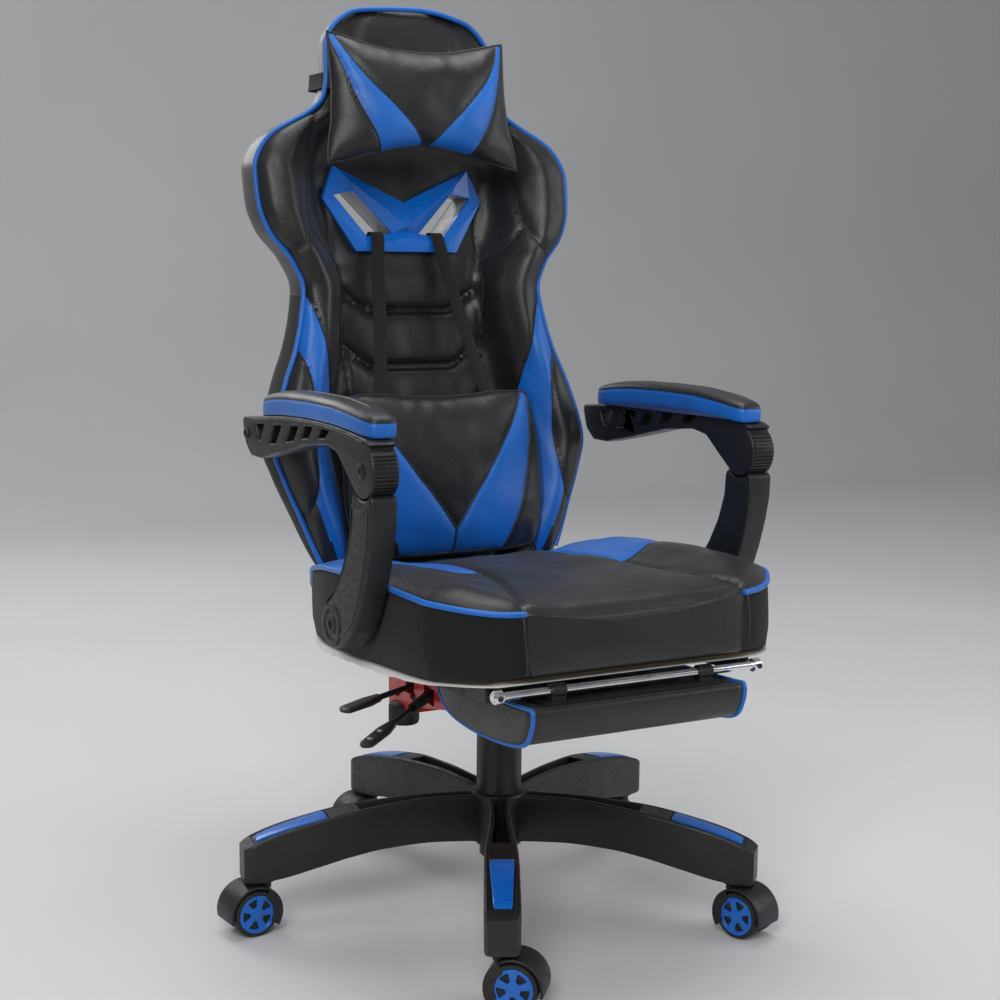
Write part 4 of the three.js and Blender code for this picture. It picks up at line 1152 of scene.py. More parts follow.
def make_seat():
    """The seat cushion: leather on top and round the front, woven cloth on its sides and rear."""
    rows_y = np.concatenate([np.arange(SEAT_FRONT, -326, 1.5), np.arange(-326, SEAT_REAR, 4.0), [SEAT_REAR]])
    shares = np.linspace(-1, 1, 121)
    plan = np.array([[(s * (float(curve(SEAT_HALF, y)) - 2), y) for s in shares] for y in rows_y])
    fixed = np.array([seat_wall(y) for y in rows_y])
    rings, faces, which, on_front = sewn_skin(plan, fixed, seat_lift, SEAT_SEAMS, seat_panels(), 4.0)
    which[~on_front] = 2
    points, faces, which = close_ends(rings, faces, which, [(0, (0, -5, 0), 0), (-1, (0, 4, 0), 2)])
    covers = [LEATHER, BLUE_LEATHER, SIDE_CLOTH]
    skin = add_object("seat_cushion_skin", seat_to_chair(points), faces, covers, which, 60)
    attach(skin, "seat")
    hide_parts("seat_cushion")
    make_seat_seams()


def make_seat_seams():
    for number, line in enumerate(SEAT_SEAMS):
        path = seat_to_chair(np.column_stack([line, seat_lift(line) + 0.8]))
        tube(f"seat_seam_{number}", path, 1.0, LEATHER, "seat", 6)
        thread = dashes(f"seat_stitch_{number}", path + [0, 0, 0.6], (0, 0, 1), 4.5, "seat", THREAD)
    for label, side in (("l", -1), ("r", 1)):
        y = np.concatenate([np.linspace(180, -300, 200), np.linspace(-302, -337.5, 40)])
        half, edge = curve(SEAT_HALF, y), curve(SEAT_EDGE, y)
        rope = seat_to_chair(np.column_stack([side * (half - 1), y, edge - 1.5]))
        tube(f"seat_piping_{label}", rope, PIPING_RADIUS, BLUE_LEATHER, "seat", 10)
        front = [(151, -337, 79), (151, -341, 60), (150, -342, 34), (148, -340, 10)]
        seam = seat_to_chair(smooth_line([(side * x, y, h) for x, y, h in front], 30))
        tube(f"seat_front_seam_{label}", seam, 1.4, LEATHER, "seat", 6)


def seat_outline(inset, front, rear):
    """The seat's plan between two stations, drawn in from the cover by inset."""
    y = np.linspace(front, rear, 60)
    right = np.column_stack([curve(SEAT_HALF, y) - inset, y])
    return np.vstack([right, right[::-1] * [-1, 1]])


def seat_space(u, v, w):
    """Plates lying in the seat: u is x, v runs front to rear and w is the height."""
    return tuple(seat_to_chair(np.column_stack([u, v, w])).T)


def make_board():
    outline = seat_outline(15, -316.6, 168).tolist()
    board = slab("seat_board_ply", [outline], 0, 12, 0.8, PLYWOOD, "seat", seat_space, 40)
    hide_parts("seat_board")


# The liner's rings from the middle outwards: share of the outline and of the hang.
LINER_RINGS = [(0.25, 0), (0.5, 0), (0.75, 0), (0.95, 0), (0.99, 0.1), (1.0, 0.35), (1.004, 0.7), (1.003, 1)]
LINER_TOP = -0.6


def make_liner():
    """White fleece stapled under the board, hanging a few wavy millimetres below the cover."""
    rim = seat_outline(4, -326, 177)
    edge = spread(np.vstack([rim, rim[:1]]), 401)[:-1]
    turn = np.arctan2(edge[:, 1], edge[:, 0])
    wave = 0.6 * np.sin(turn * 31) + 0.4 * np.sin(turn * 57 + 1)
    hang = 1.5 + (5.5 + wave) * np.clip((edge[:, 1] + 280) / 120, 0, 1)
    middle = edge.mean(axis=0)
    rows = [np.column_stack([middle + (edge - middle) * share, LINER_TOP - hang * drop])
            for share, drop in LINER_RINGS]
    points = np.concatenate(rows + [np.array([[*middle, LINER_TOP]])])
    count = len(edge)
    faces = ring_faces(len(rows), count)
    faces += [(k, (k + 1) % count, len(points) - 1) for k in range(count)]
    liner = add_object("seat_liner_fleece", seat_to_chair(points), faces, [LINER], None, 60)
    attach(liner, "seat")
    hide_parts("seat_liner")


# ---------------------------------------------------------------- arms
# The arm from the side: y and height.
POST_OUTLINE = [(-206, 560), (-199, 528), (-188, 494), (-172, 456), (-152, 424), (-122, 402), (-92, 395),
                (-66, 404), (-56, 424), (-62, 440), (-92, 462), (-118, 492), (-138, 526), (-150, 560)]
POST_MIDDLE = (-150, 500)
PAD_BOTTOM = [(-195, 655), (-130, 661), (-60, 663.5), (20, 662), (90, 658), (160, 651)]
PAD_TOP = [(-195, 680), (-130, 689), (-60, 693), (20, 692), (90, 688), (160, 678.5)]
BEAM_WINDOWS = [
    [(158, 622), (168, 640), (134, 643), (150, 620)], [(94, 622), (116, 620), (102, 644), (72, 647)],
    [(32, 632), (58, 628), (42, 649), (14, 651)], [(-18, 640), (6, 637), (-4, 653), (-32, 654)],
    [(-70, 645), (-48, 643), (-58, 655), (-84, 655)],
]
BEAM_UNDER = [(-134, 612), (-107, 632), (-75, 637), (-10, 630), (63, 614), (150, 597), (185, 597)]
BEAM_REAR = [(205, 612), (214, 636), (214, 646)]
KNUCKLE_ANGLES = (120, 140, 160, 180, 205, 225, 245, 270, 295, 315)
TONGUE_LOW, TONGUE_HIGH = 251.5, 270.5


def to_side(side):
    """Side-view plates for the right arm, mirrored for the left one: u is y, v is z and w is x."""
    return lambda u, v, w: (side * w, u, v)


def shrunk(outline, middle, share):
    return [(middle[0] + (u - middle[0]) * share, middle[1] + (v - middle[1]) * share) for u, v in outline]


def make_arm(label, side):
    """A post with a tongue for the elbow, the beam and pad it carries, and their bolts."""
    space = to_side(side)

    def plate(name, outlines, low, high, bevel, crease=35, resolution=3):
        return slab(name, outlines, low, high, bevel, NYLON, None, space, crease, resolution)

    relief = arc(ARM_ELBOW, 33.4, -48, -130, 14)
    body = rounded([*POST_OUTLINE, (-152, 588), *relief, (-207, 588)], 5.0, 4)
    rim = [[around(ARM_FOOT, radius, d) for d in range(0, 360, 8)] for radius in (26, 19)]
    bead = [shrunk(body, POST_MIDDLE, share) for share in (0.86, 0.80)]
    neck = [(-196, 602), (-198, 578), (-160, 574), (-160, 602)]
    parts = [
        plate("post_shell", [body], ARM_INNER, ARM_OUTER, 4.5, resolution=4),
        plate("post_tongue", [circle(*ARM_ELBOW, 27, 40)], TONGUE_LOW, TONGUE_HIGH, 1.0),
        plate("post_neck", [neck], TONGUE_LOW, TONGUE_HIGH, 1.0, crease=50),
        plate("post_rim", rim, ARM_OUTER - 3, ARM_OUTER + 1.6, 1.3),
        plate("post_bead", bead, ARM_OUTER - 2, ARM_OUTER + 0.9, 0.8),
    ]
    post = join(f"arm_post_{label}_moulding", parts, f"arm_post_{label}")
    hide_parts(f"arm_post_{label}")
    make_beam(label, plate)
    make_pad(label, side)
    make_arm_bolts(label, side)


def pad_underside(start, end, count, below):
    """A line that follows the pad's underside at some distance below it."""
    y = np.linspace(start, end, count)
    return list(zip(y, curve(PAD_BOTTOM, y) - below))


def make_beam(label, plate):
    """The slotted arm beam: outer plate, inner cheek, ribbed bellows at the elbow and a lip."""
    top = pad_underside(-190, 158, 12, 0.4)
    knuckle = [around(ARM_ELBOW, 32, d) for d in KNUCKLE_ANGLES]
    nose = (-203, 650)
    outer = rounded([*knuckle, *BEAM_UNDER, *BEAM_REAR, *top[::-1], nose], 3.5, 3)
    cheek = rounded([*knuckle, *BEAM_UNDER[:5], (110, 655.5), *top[:9][::-1], nose], 3, 3)
    windows = [rounded(w, 3.0, 3) for w in BEAM_WINDOWS]
    strip = pad_underside(-186, 200, 30, 3.6) + pad_underside(-186, 200, 30, 7.6)[::-1]
    parts = [
        plate("beam_plate", [outer, *windows], ARM_INNER + 6.2, ARM_OUTER, 3.0),
        plate("beam_cheek", [cheek, *windows[1:]], ARM_INNER, ARM_INNER + 14, 2.5),
        plate("beam_lip", [strip], ARM_OUTER - 2, ARM_OUTER + 1.2, 1.0),
    ]
    for turn in range(142, 246, 8):
        rib = [around(ARM_ELBOW, 33.2, turn + d) for d in (-1.6, 1.6)]
        rib += [around(ARM_ELBOW, 29, turn + d) for d in (2.4, -2.4)]
        parts.append(plate("beam_rib", [rib], ARM_INNER + 3, ARM_OUTER - 3, 0.6, crease=30))
    beam = join(f"arm_beam_{label}_moulding", parts, f"arm_beam_{label}")
    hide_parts(f"arm_beam_{label}")


# The pad's section from below: how far it is drawn in, and its share of the height.
PAD_STEPS = [(5, 0.0), (1.4, 0.03), (0.2, 0.12), (0, 0.25), (0, 0.5), (0.2, 0.60), (1.1, 0.66), (1.5, 0.69),
             (0.7, 0.71), (0.9, 0.76), (2.6, 0.86), (6.5, 0.95), (12, 1.0), (18, 1.03), (22, 1.04)]
PAD_MIDDLE, PAD_HALF = (254.5, -17.5), (23.6, 176.5)
BLUE_STEPS = 7


def make_pad(label, side):
    """Arm pad: a blue band all round, a thin lip, and a black crowned top."""
    ring_x, ring_y = squared(np.linspace(0, 2 * math.pi, 120, endpoint=False), 0.42, 0.30)
    rings = []
    for inset, share in PAD_STEPS:
        x = PAD_MIDDLE[0] + ring_x * (PAD_HALF[0] - inset)
        y = PAD_MIDDLE[1] + ring_y * (PAD_HALF[1] - inset)
        low, high = curve(PAD_BOTTOM, y), curve(PAD_TOP, y)
        rings.append(np.column_stack([side * x, y, low + (high - low) * share]))
    black_steps = len(rings) - 1 - BLUE_STEPS
    which = [0] * BLUE_STEPS * len(ring_x) + [1] * black_steps * len(ring_x) + [0, 1]
    covers = [BLUE_LEATHER, LEATHER]
    pad = loft(f"arm_pad_{label}_skin", rings, covers, f"arm_beam_{label}", which=which)
    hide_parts(f"arm_pad_{label}")


def turned(*profile):
    """Profile of a solid turned piece, closed on its axis at the height of its first and last row."""
    return [(AXIS, profile[0][1]), *profile, (AXIS, profile[-1][1])]


def bolt(name, centre, axis, radius, height, body):
    """Dome-headed bolt with a recess; centre is on the seat of its head."""
    profile = [(AXIS, 0), (radius, 0), (radius, height * 0.35), (radius * 0.86, height * 0.8),
               (radius * 0.6, height), (radius * 0.5, height), (radius * 0.46, height * 0.35),
               (AXIS, height * 0.35)]
    lathe(name, profile, BLACK_STEEL, body, centre, axis, 48)


def make_arm_bolts(label, side):
    foot = turned((8, 0), (8, 35), (12.5, 35.2), (12.5, 37), (10.5, 39), (6, 39.4), (5.4, 36.4))
    elbow = turned((6, 0), (6, 33), (9.5, 33.2), (9.5, 34.4), (7.6, 35.6), (3.4, 35.8), (3.2, 34.2))
    out = (side, 0, 0)
    shank = lathe(f"foot_bolt_{label}_head", foot, BLACK_STEEL, "seat", (side * 240.8, *ARM_FOOT), out)
    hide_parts(f"foot_bolt_{label}")
    pin = lathe(f"elbow_pin_{label}_head", elbow, BLACK_STEEL, f"arm_post_{label}",
                (side * 244.5, *ARM_ELBOW), out)
    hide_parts(f"elbow_pin_{label}")
    bolt(f"arm_rear_bolt_{label}", (side * ARM_OUTER, *ARM_REAR_BOLT), out, 7, 4, f"arm_beam_{label}")


# ---------------------------------------------------------------- footrest
# The pad from the side: y and height.
PAD_SIDE = [(-343, 362), (-341, 340), (-324, 320), (-270, 310), (-200, 307), (-140, 313),
            (-112, 330), (-108, 350), (-150, 353), (-240, 357), (-322, 362)]


PAD_HALF_WIDTH = 147
# Station across the pad and how much smaller its section is there.
PAD_ENDS = [(-147, 0.86), (-146.4, 0.93), (-144, 0.975), (-139, 1.0)]
PAD_STATIONS = PAD_ENDS + [(x, 1.0) for x in range(-132, 133, 6)] + on_side(PAD_ENDS[::-1], -1)


def make_footrest():
    """The stuffed pad with piping round both ends, and the frame that carries it."""
    outline = soft_outline(PAD_SIDE, 12)
    middle = outline.mean(axis=0)
    away = outline - middle
    outward = away / np.linalg.norm(away, axis=1)[:, None]
    front_low = np.clip(-(outward @ np.array([-0.2, 1.0])), 0, 1)
    rings = []
    for x, shrink in PAD_STATIONS:
        ring = middle + away * shrink
        across = np.full(len(ring), x)
        puff = 3.0 * (1 - (x / PAD_HALF_WIDTH) ** 4) * front_low
        rough = ripple(across, ring[:, 0], 44, 40, 81) * front_low
        rings.append(np.column_stack([across, ring + outward * (puff + rough)[:, None] * 0.6]))
    pad = loft("footrest_cushion", rings, [LEATHER], "footrest_flip", 60)
    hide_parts("footrest_pad")
    loop = middle + away * 0.992
    for label, x in (("l", -143.5), ("r", 143.5)):
        path = np.column_stack([np.full(len(loop), x), loop])
        rope = closed_tube(f"footrest_piping_{label}", path, 2.8, BLUE_LEATHER, "footrest_flip")
    make_footrest_frame()


def make_footrest_frame():
    """A chromed bar with a collar and screw at each end, on two rods that run in the rails."""
    y, z = BAR
    bar = turned((4.4, 0), (5, 0.8), (5, 2 * RAIL_X - 0.8), (4.4, 2 * RAIL_X))
    clamp = [(AXIS, 0), (7.4, 0), (8.2, 0.8), (8.2, 9.4), (7.2, 10.4), (5.4, 10.6), (5.0, 12.4), (AXIS, 13)]
    screw = turned((3.2, 0), (3.2, 2), (2.4, 2.6))
    parts = [lathe("bar", bar, CHROME, None, (-RAIL_X, y, z), (1, 0, 0), 32)]
    c, s = math.cos(SEAT_PITCH), math.sin(SEAT_PITCH)
    for side in (-1, 1):
        rod_foot = (side * RAIL_X, y - 3, z + 3 * s)
        parts.append(lathe("rod", turned((5, 0), (5, 308)), CHROME, None, rod_foot, (0, c, -s), 32))
        parts.append(lathe("clamp", clamp, CHROME, None, (side * 170, y, z), (side, 0, 0), 40))
        parts.append(lathe("clamp_screw", screw, BLACK_STEEL, None, (side * 176, y - 7.4, z), (0, -1, 0), 24))
    slide = join("footrest_frame", parts, "footrest_slide")
    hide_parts("footrest_slide")


# ---------------------------------------------------------------- star base and casters
# One arm, hub to tip: distance out, underside, top, half width.
ARM_STATIONS = [
    (18, 88, 152, 13), (60, 92, 154.5, 13), (110, 95, 155.5, 14), (160, 94, 153, 17), (205, 89, 149, 20.5),
    (250, 80, 141.5, 21.5), (300, 70, 130.5, 21.5), (332, 67, 119.5, 21.5), (341, 67.5, 115, 20),
    (346, 69, 112, 17),
]
# Half width of the open channel near the hub, which is cut down to CHANNEL_FLOOR.
CHANNEL_HALF = [(36, 6.5), (110, 7), (160, 10), (196, 13)]
CHANNEL_FLOOR = 122.0
# Extra sections where the channel and the insert's bed begin and end.
CHANNEL_STOPS = {38.0, 40.0, 41.5, 190.0, 193.0, 196.0}
INSERT_STOPS = {234.0, 236.0, 331.0, 333.0}
INSERT_RANGE = (236, 330)


def arm_angle(index):
    """Bearing of an arm of the base, from straight ahead towards the chair's +x side."""
    return ARM_START + 2 * math.pi * index / ARM_COUNT


def stem_position(index):
    a = arm_angle(index)
    return STEM_RADIUS * math.sin(a), -STEM_RADIUS * math.cos(a)


def arm_section(r):
    """Underside, top and half width of an arm at that distance from the column."""
    return [float(curve([(row[0], row[k]) for row in ARM_STATIONS], r)) for k in (1, 2, 3)]


def star_arm_rings():
    """Sections of an arm with its open channel, then the bed of its insert."""
    rings = []
    for r in sorted(set(np.linspace(18, 346, 66)) | CHANNEL_STOPS | INSERT_STOPS):
        low, high, half = arm_section(r)
        if 39.9 <= r <= 193:
            notch, floor = float(curve(CHANNEL_HALF, r)), CHANNEL_FLOOR
        elif 235.9 <= r <= 331.1:
            notch, floor = half - 5.2, high - 2.2
        else:
            notch, floor = half - 7, high - 0.1
        deep = floor < high - 1.5
        right = [(half - 2.5, low), (half - 0.6, low + 0.8), (half, low + 3), (half, high - 4),
                 (half - 0.5, high - 1.6), (half - 1.6, high - 0.4), (half - 3, high), (notch + 1.2, high),
                 (notch + 0.3, high - 0.4), (notch, high - 1.4 if deep else floor),
                 (notch - 0.4, floor + 0.6 if deep else floor), (notch - 1.6, floor)]
        rings.append([(r, t, z) for t, z in right + on_side(right[::-1], -1)])
    return np.array(rings)


def on_arm(index, rings):
    """Rings of (out along the arm, across it, up) in chair axes."""
    a = arm_angle(index)
    r, t, z = rings[..., 0], rings[..., 1], rings[..., 2]
    return np.stack((r * math.sin(a) + t * math.cos(a), -r * math.cos(a) + t * math.sin(a), z), axis=-1)


def make_base():
    """One moulding: five arms with a stem socket each round a hub, and the blue inserts."""
    parts = []
    rings = star_arm_rings()
    socket = [(13.5, 0.6), (16, 0.9), (17, 2.2), (17, 8), (AXIS, 8), (AXIS, 0.6)]
    for index in range(ARM_COUNT):
        parts.append(loft("arm", on_arm(index, rings), [NYLON], None, 35))
        parts.append(lathe("socket", socket, NYLON, None, (*stem_position(index), 64), segments=40))
    hub = [(25.3, 84), (31, 84), (33.4, 86.5), (34, 90), (34, 140), (37.5, 146), (37.5, 152.5), (36, 154.6),
           (33, 155), (25.3, 155)]
    parts.append(lathe("hub", [*hub, hub[0]], NYLON, None, segments=72))
    star = join("star_base_moulding", parts, "base")
    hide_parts("star_base")
    for index in range(ARM_COUNT):
        make_insert(index)


def make_insert(index):
    """A blue strip in the top of an arm, narrowing towards the tip."""
    start, end = INSERT_RANGE
    rings = []
    for r in np.linspace(start + 1.5, end - 1.5, 24):
        high, half = arm_section(r)[1:]
        ends = min(1, (r - start) / 5, (end - r) / 5)
        width = min(half - 5.6, 15.5 - 4.5 * (r - start) / (end - start))
        width *= 0.75 + 0.25 * math.sqrt(max(ends, 0.01))
        top = high + 0.9 * min(1, ends * 1.5)
        right = [(width, high - 2), (width, top - 1.2), (width - 0.8, top - 0.3), (width - 2.2, top)]
        rings.append([(r, t, z) for t, z in [*right, (0, top + 0.4), *on_side(right[::-1], -1)]])
    insert = loft(f"arm_insert_{index + 1}", on_arm(index, np.array(rings)), [BLUE_PLASTIC], "base", 35)
    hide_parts(f"base_insert_{index + 1}")


def caster_space(index):
    """From (trail direction, axle direction, up) at a caster's stem to chair axes."""
    h = math.radians(CASTER_HEADINGS[index])
    x0, y0 = stem_position(index)
    return lambda u, v, w: (x0 + u * math.cos(h) - v * math.sin(h), y0 + u * math.sin(h) + v * math.cos(h), w)


HOOD_OUTER, HOOD_INNER = 35.6, 32.0


def make_caster(index):
    """A hood with its web and side skirts, the stem and the axle; then both wheels."""
    space = caster_space(index)
    centre = (CASTER_TRAIL, AXLE_HEIGHT)

    def plate(name, outline, low, high, bevel):
        return slab(name, [outline], low, high, bevel, NYLON, None, lambda u, v, w: space(u, w, v), 35)

    fender = arc(centre, HOOD_OUTER, -14, 200, 40) + arc(centre, HOOD_INNER, 200, -14, 40)
    skirt = arc(centre, HOOD_OUTER, 120, 214, 16)
    skirt = rounded(skirt + [around(centre, 22, d) for d in (214, 190, 165, 140, 120)], 2)
    web = arc(centre, HOOD_INNER + 0.2, 0, 180, 24) + [(CASTER_TRAIL - 14, 20), (CASTER_TRAIL + 14, 20)]
    stem = turned((11.5, 56), (11.5, 64), (10, 66.6), (5.5, 66.8), (5.5, 101), (4.6, 102))
    axle = turned((4, -19.4), (4, 19.4))
    foot = space(0, 0, 0)
    along_axle = tuple(np.array(space(0, 1, 0)) - np.array(foot))
    hub = space(CASTER_TRAIL, 0, AXLE_HEIGHT)
    parts = [
        plate("hood", fender, -23, 23, 1.3),
        plate("hood_web", web, -5.4, 5.4, 0.8),
        plate("hood_skirt", skirt, -24.6, -22.6, 0.6),
        plate("hood_skirt", skirt, 22.6, 24.6, 0.6),
        lathe("stem", stem, BLACK_STEEL, None, foot, segments=40),
        lathe("axle", axle, BLACK_STEEL, None, hub, along_axle, 24),
    ]
    hood = join(f"caster_hood_{index + 1}_moulding", parts, f"caster_{index + 1}")
    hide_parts(f"caster_hood_{index + 1}")
    for letter, side in (("a", -1), ("b", 1)):
        make_wheel(index, letter, side)


def wheel_cap_holes():
    """Five openings between the spokes of a wheel cap."""
    holes = []
    for k in range(5):
        first = 90 + 72 * k
        outer = arc((0, 0), 19.6, first + 16, first + 56, 10)
        inner = arc((0, 0), 9.4, first + 50, first + 22, 6)
        holes.append(rounded(outer + inner, 1.6, 3))
    return holes


TYRE_PROFILE = [(4.6, -9), (26, -9), (28.4, -8.2), (29.5, -6.4), (29.74, -4), (29.74, 4), (29.5, 6.4),
                (28.4, 8.2), (26.4, 8.8), (25.2, 8.4), (24.6, 5.0), (8, 4.4), (4.6, 4.4), (4.6, -9)]


def make_wheel(index, letter, side):
    """A black tyre with a spoked blue cap on its outer side."""
    space = caster_space(index)
    centre = space(CASTER_TRAIL, side * WHEEL_OFFSET, AXLE_HEIGHT)
    axis = tuple(np.array(space(0, side, 0)) - np.array(space(0, 0, 0)))
    roll = math.radians(17 * index + (20 if side > 0 else 0))

    def cap_space(u, v, w):
        c, s = math.cos(roll), math.sin(roll)
        a, b = u * c - v * s, u * s + v * c
        return space(CASTER_TRAIL + a, side * (WHEEL_OFFSET + w), AXLE_HEIGHT + b)

    cap = [circle(0, 0, 24.4, 64)] + wheel_cap_holes()
    ring = [circle(0, 0, 24.6, 64), circle(0, 0, 21.6, 64)]
    hub = [(AXIS, 7), (6.4, 7), (6.4, 8.6), (5, 9.0), (AXIS, 9.2)]
    parts = [
        lathe("tyre", TYRE_PROFILE, TYRE, None, centre, axis, 72),
        slab("cap", cap, 5.2, 8.2, 0.8, BLUE_PLASTIC, None, cap_space, 35),
        slab("cap_ring", ring, 7.0, 9.0, 0.7, BLUE_PLASTIC, None, cap_space, 35),
        lathe("cap_hub", hub, BLUE_PLASTIC, None, centre, axis, 40),
    ]
    wheel = join(f"caster_wheel_{index + 1}{letter}_twin", parts, f"wheel_{index + 1}{letter}")
    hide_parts(f"caster_wheel_{index + 1}{letter}")


# ---------------------------------------------------------------- column, mechanism, levers
def make_column():
    """Gas lift in the two telescopic sleeves that cover it."""
    cylinder = turned((23.5, 66), (25, 68), (25, 232), (24, 234), (14.4, 234), (14.4, 84))
    rod = turned((14, 92), (14, 299), (13, 300))
    lower = [(28, 155.4), (30, 155.4), (30, 236), (30.6, 237), (30.6, 239), (30, 240), (28, 240), (28, 155.4)]
    upper = [(25.5, 158), (27.4, 158), (27.4, 262), (28.2, 263), (28.2, 266), (25.5, 266), (25.5, 158)]
    for name, profile, material, body, node, slot in (
            ("gas_cylinder", cylinder, BLACK_STEEL, "base", "gas_lift_cylinder", "black_steel"),
            ("gas_rod", rod, CHROME, "lift", "gas_lift_rod", "chrome"),
            ("shroud_lower_sleeve", lower, NYLON, "base", "shroud_lower", "nylon_black"),
            ("shroud_upper_sleeve", upper, NYLON, "swivel", "shroud_upper", "nylon_black")):
        piece = lathe(name, profile, material, body)
        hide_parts(node)


KNOB = (-72, 146, 219)
KNOB_RADIUS = 20.6
GRIP_COUNT = 24
RIVETS = [(-80, 305), (10, 290), (100, 268), (150, 262)]


def make_mechanism():
    """The red pressed housing keeps the shape of its solid; the ribbed knob and rivets are added."""
    profile = [(AXIS, 0), (19, 0), (20.6, 1.4), (20.9, 4), (20.9, 26), (20, 28.4), (17.5, 29.6), (AXIS, 29.8)]
    parts = [lathe("knob_core", profile, NYLON, None, KNOB, segments=72)]
    grip = [(AXIS, 0), (0.7, 0), (0.9, 1), (0.9, 22), (AXIS, 23)]
    for x, y in circle(KNOB[0], KNOB[1], KNOB_RADIUS, GRIP_COUNT):
        parts.append(lathe("grip", grip, NYLON, None, (x, y, KNOB[2] + 3), segments=8))
    knob = join("tension_knob_moulding", parts, "tension_knob")
    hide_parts("tension_knob")
    for k, (y, z) in enumerate(RIVETS):
        for label, side in (("l", -1), ("r", 1)):
            bolt(f"housing_rivet_{k}_{label}", (side * 80.2, y, z), (side, 0, 0), 5.5, 3, "swivel")


LEVERS = {
    "lift_lever": {"root": (-70, 112, 281), "tip": (-188, 92, 262), "paddle": 60, "half": 13},
    "recline_lever": {"root": (-66, 60, 284), "tip": (-214, -40, 252), "paddle": 72, "half": 10},
}


def lever_space(root, tip):
    """A lever's length, and points (along it, across it, up) in chair axes."""
    start = np.array(root, float)
    along = np.array(tip, float) - start
    length = np.linalg.norm(along)
    along /= length
    across = np.cross((0, 0, 1), along)
    across /= np.linalg.norm(across)
    axes = np.array([along, across, np.cross(along, across)])
    return length, lambda points: start + np.asarray(points, float) @ axes


def paddle_rings(length, paddle, half, place_at):
    """The flat handle at a lever's end: widening, then rounded off at the tip."""
    turn = np.linspace(0, 2 * math.pi, 28, endpoint=False)
    flat, thin = squared(turn, 0.6, 0.6)
    rings = []
    for x in np.linspace(length - paddle, length, 22):
        share = (x - (length - paddle)) / paddle
        tip = math.sqrt(max(1 - max(0, share - 0.86) ** 2 * 42, 0.12))
        wide = half * (0.45 + 0.55 * min(1, share * 3.2)) * tip
        thick = max(5.2 - 1.8 * share - 1.6 * max(0, share - 0.9) * 10, 1.5)
        rings.append(place_at(np.column_stack([np.full_like(flat, x), flat * wide, thin * thick])))
    return rings


def recline_fittings(length, place_at):
    """The coiled cable sleeve and two screws on the recline lever."""
    turns = 2 * math.pi * 9
    coil = [(22 + t * 40 / turns, 6 * math.cos(t), 6 * math.sin(t)) for t in np.linspace(0, turns, 220)]
    parts = [tube("coil", place_at(coil), 1.5, NYLON, None, 8)]
    screw = [(AXIS, 0), (3.6, 0), (3.4, 1.4), (2, 2.1), (AXIS, 2.2)]
    for x in (length - 40, length - 16):
        spot = tuple(place_at([(x, 0, 3.6)])[0])
        parts.append(lathe("screw", screw, CHROME, None, spot, segments=24))
    return parts


def make_levers():
    for name, lever in LEVERS.items():
        length, place_at = lever_space(lever["root"], lever["tip"])
        rod = [(x, 0, 0) for x in np.linspace(0, length - lever["paddle"] + 12, 12)]
        paddle = paddle_rings(length, lever["paddle"], lever["half"], place_at)
        parts = [tube("rod", place_at(rod), 4, BLACK_STEEL, None, 20)]
        parts.append(loft("paddle", paddle, [NYLON], None, 40))
        if name == "recline_lever":
            parts += recline_fittings(length, place_at)
        handle = join(f"{name}_handle", parts, name)
        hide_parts(name)


def paint_frame():
    """CAD steel that keeps its own shape gets its finish."""
    finishes = {"mechanism_housing": RED_STEEL}
    for node in ("tilt_plate", "seat_bracket_l", "seat_bracket_r", "back_bracket_l", "back_bracket_r",
                 "footrest_rail_l", "footrest_rail_r", "footrest_flip_plate"):
        finishes[node] = BLACK_STEEL
    for node, material in finishes.items():
        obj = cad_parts[node]
        for slot in obj.material_slots:
            slot.material = material


# ---------------------------------------------------------------- camera, light, floor
CAMERA_AT = (-0.9958, -1.9077, 0.8544)
CAMERA_YAW, CAMERA_PITCH, CAMERA_ROLL = 0.493815, 0.142514, 0.011186
CAMERA_LENS = 59.93


def make_camera():
    """The photo's viewpoint, found from the chair's symmetric points; CAMERA_AT is in metres."""
    data = bpy.data.cameras.new("camera")
    data.lens = CAMERA_LENS
    data.sensor_width = 36
    camera = bpy.data.objects.new("camera", data)
    bpy.context.scene.collection.objects.link(camera)
    forward = Vector((math.sin(CAMERA_YAW) * math.cos(CAMERA_PITCH),
                      math.cos(CAMERA_YAW) * math.cos(CAMERA_PITCH), -math.sin(CAMERA_PITCH)))
    level = Vector((math.cos(CAMERA_YAW), -math.sin(CAMERA_YAW), 0))
    upright = level.cross(forward)
    right = level * math.cos(CAMERA_ROLL) + upright * math.sin(CAMERA_ROLL)
    up = -level * math.sin(CAMERA_ROLL) + upright * math.cos(CAMERA_ROLL)
    turn = Matrix((right, up, -forward)).transposed().to_4x4()
    camera.matrix_world = Matrix.Translation(CAMERA_AT) @ turn
    bpy.context.scene.camera = camera


# Each light: where it stands, its width in metres, its power in watts and its tint.
LIGHTS = {
    "key": ((-1.9, -2.4, 2.6), 2.0, 66, (1.0, 0.98, 0.96)),
    "fill": ((2.6, -1.6, 1.6), 2.2, 24, (0.95, 0.97, 1.0)),
    "top": ((0.2, 0.3, 3.4), 2.2, 46, (1.0, 1.0, 1.0)),
    "rim": ((-0.8, 2.8, 2.2), 1.8, 26, (1.0, 1.0, 1.0)),
}
LIT_POINT = Vector((0.0, 0.0, 0.6))
WORLD_COLOUR, WORLD_STRENGTH = (0.9, 0.92, 0.95, 1), 0.26


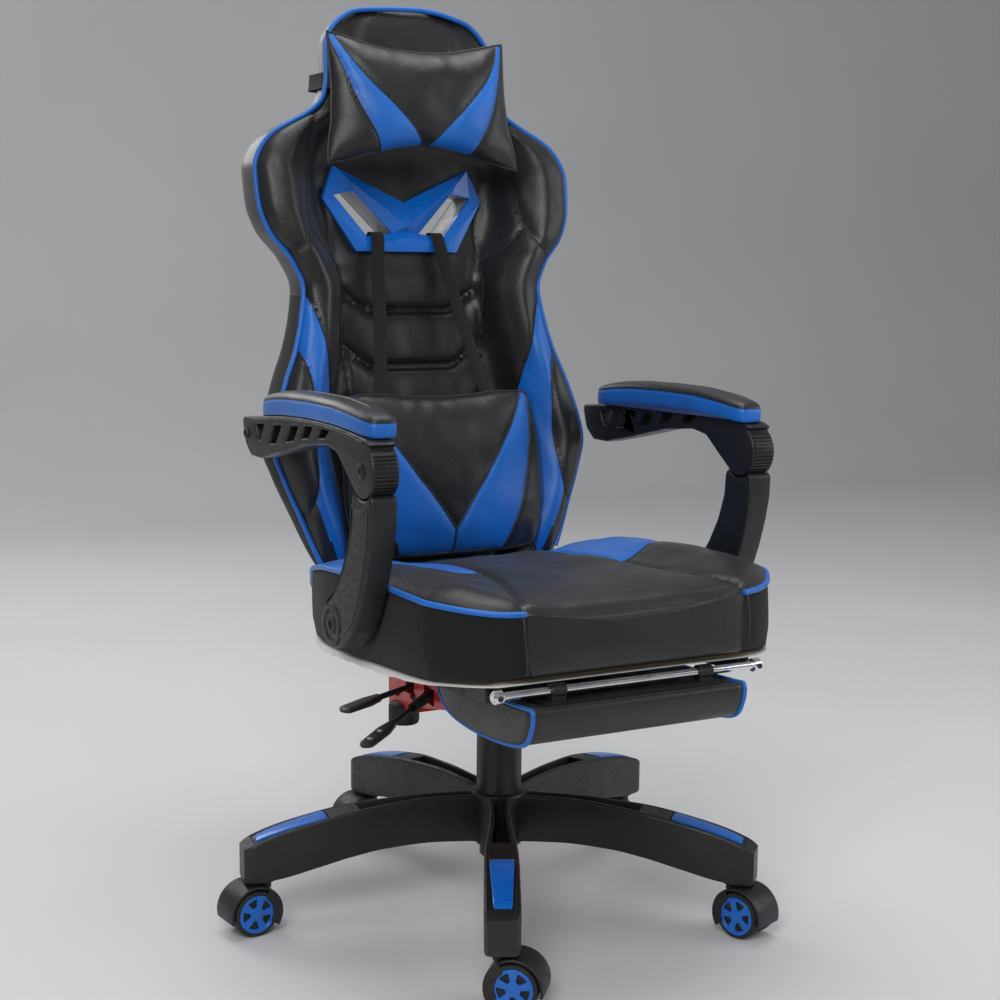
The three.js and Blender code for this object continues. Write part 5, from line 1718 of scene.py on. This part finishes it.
def make_lights():
    for name, (place, size, power, tint) in LIGHTS.items():
        data = bpy.data.lights.new(name, "AREA")
        data.shape = "DISK"
        data.size = size
        data.energy = power
        data.color = tint
        lamp = bpy.data.objects.new(name, data)
        bpy.context.scene.collection.objects.link(lamp)
        lamp.location = place
        lamp.rotation_euler = (LIT_POINT - Vector(place)).to_track_quat("-Z", "Y").to_euler()
    world = bpy.data.worlds.new("studio")
    world.use_nodes = True
    background = world.node_tree.nodes["Background"]
    background.inputs["Color"].default_value = WORLD_COLOUR
    background.inputs["Strength"].default_value = WORLD_STRENGTH
    bpy.context.scene.world = world
    bpy.context.scene.view_settings.view_transform = "Standard"


# The backdrop in metres: a flat floor that curves up into a wall behind the chair.
FLOOR_REACH, WALL_START, WALL_BEND, WALL_TOP = 6.0, 3.2, 1.2, 4.0


def make_floor():
    material, tree, shader = start_material("studio_floor", (0.66, 0.66, 0.67), 0.6)
    space = object_space(tree)
    vary_colour(tree, shader, noise(tree, space, 1.2, 4), (0.64, 0.64, 0.65), (0.68, 0.68, 0.69))
    profile = [(-FLOOR_REACH, 0.0), (WALL_START, 0.0)]
    for t in np.linspace(0.1, math.pi / 2, 14):
        profile.append((WALL_START + WALL_BEND * math.sin(t), WALL_BEND - WALL_BEND * math.cos(t)))
    profile.append((WALL_START + WALL_BEND, WALL_TOP))
    points = [(x, y, z) for x in (-FLOOR_REACH, FLOOR_REACH) for y, z in profile]
    count = len(profile)
    faces = [(k, k + 1, count + k + 1, count + k) for k in range(count - 1)]
    mesh = bpy.data.meshes.new("floor")
    mesh.from_pydata(points, [], faces)
    mesh.materials.append(material)
    mesh.polygons.foreach_set("use_smooth", np.ones(len(faces), bool))
    floor = bpy.data.objects.new("floor", mesh)
    bpy.context.scene.collection.objects.link(floor)


make_camera()
make_lights()
make_floor()
make_base()
for number in range(ARM_COUNT):
    make_caster(number)
make_column()
make_mechanism()
make_levers()
make_board()
make_liner()
make_seat()
make_backrest()
make_back_piping()
make_back_stitches()
make_trim()
make_head_pillow()
make_lumbar_pillow()
make_head_band()
make_lumbar_straps()
make_arm("l", -1)
make_arm("r", 1)
make_footrest()
paint_frame()
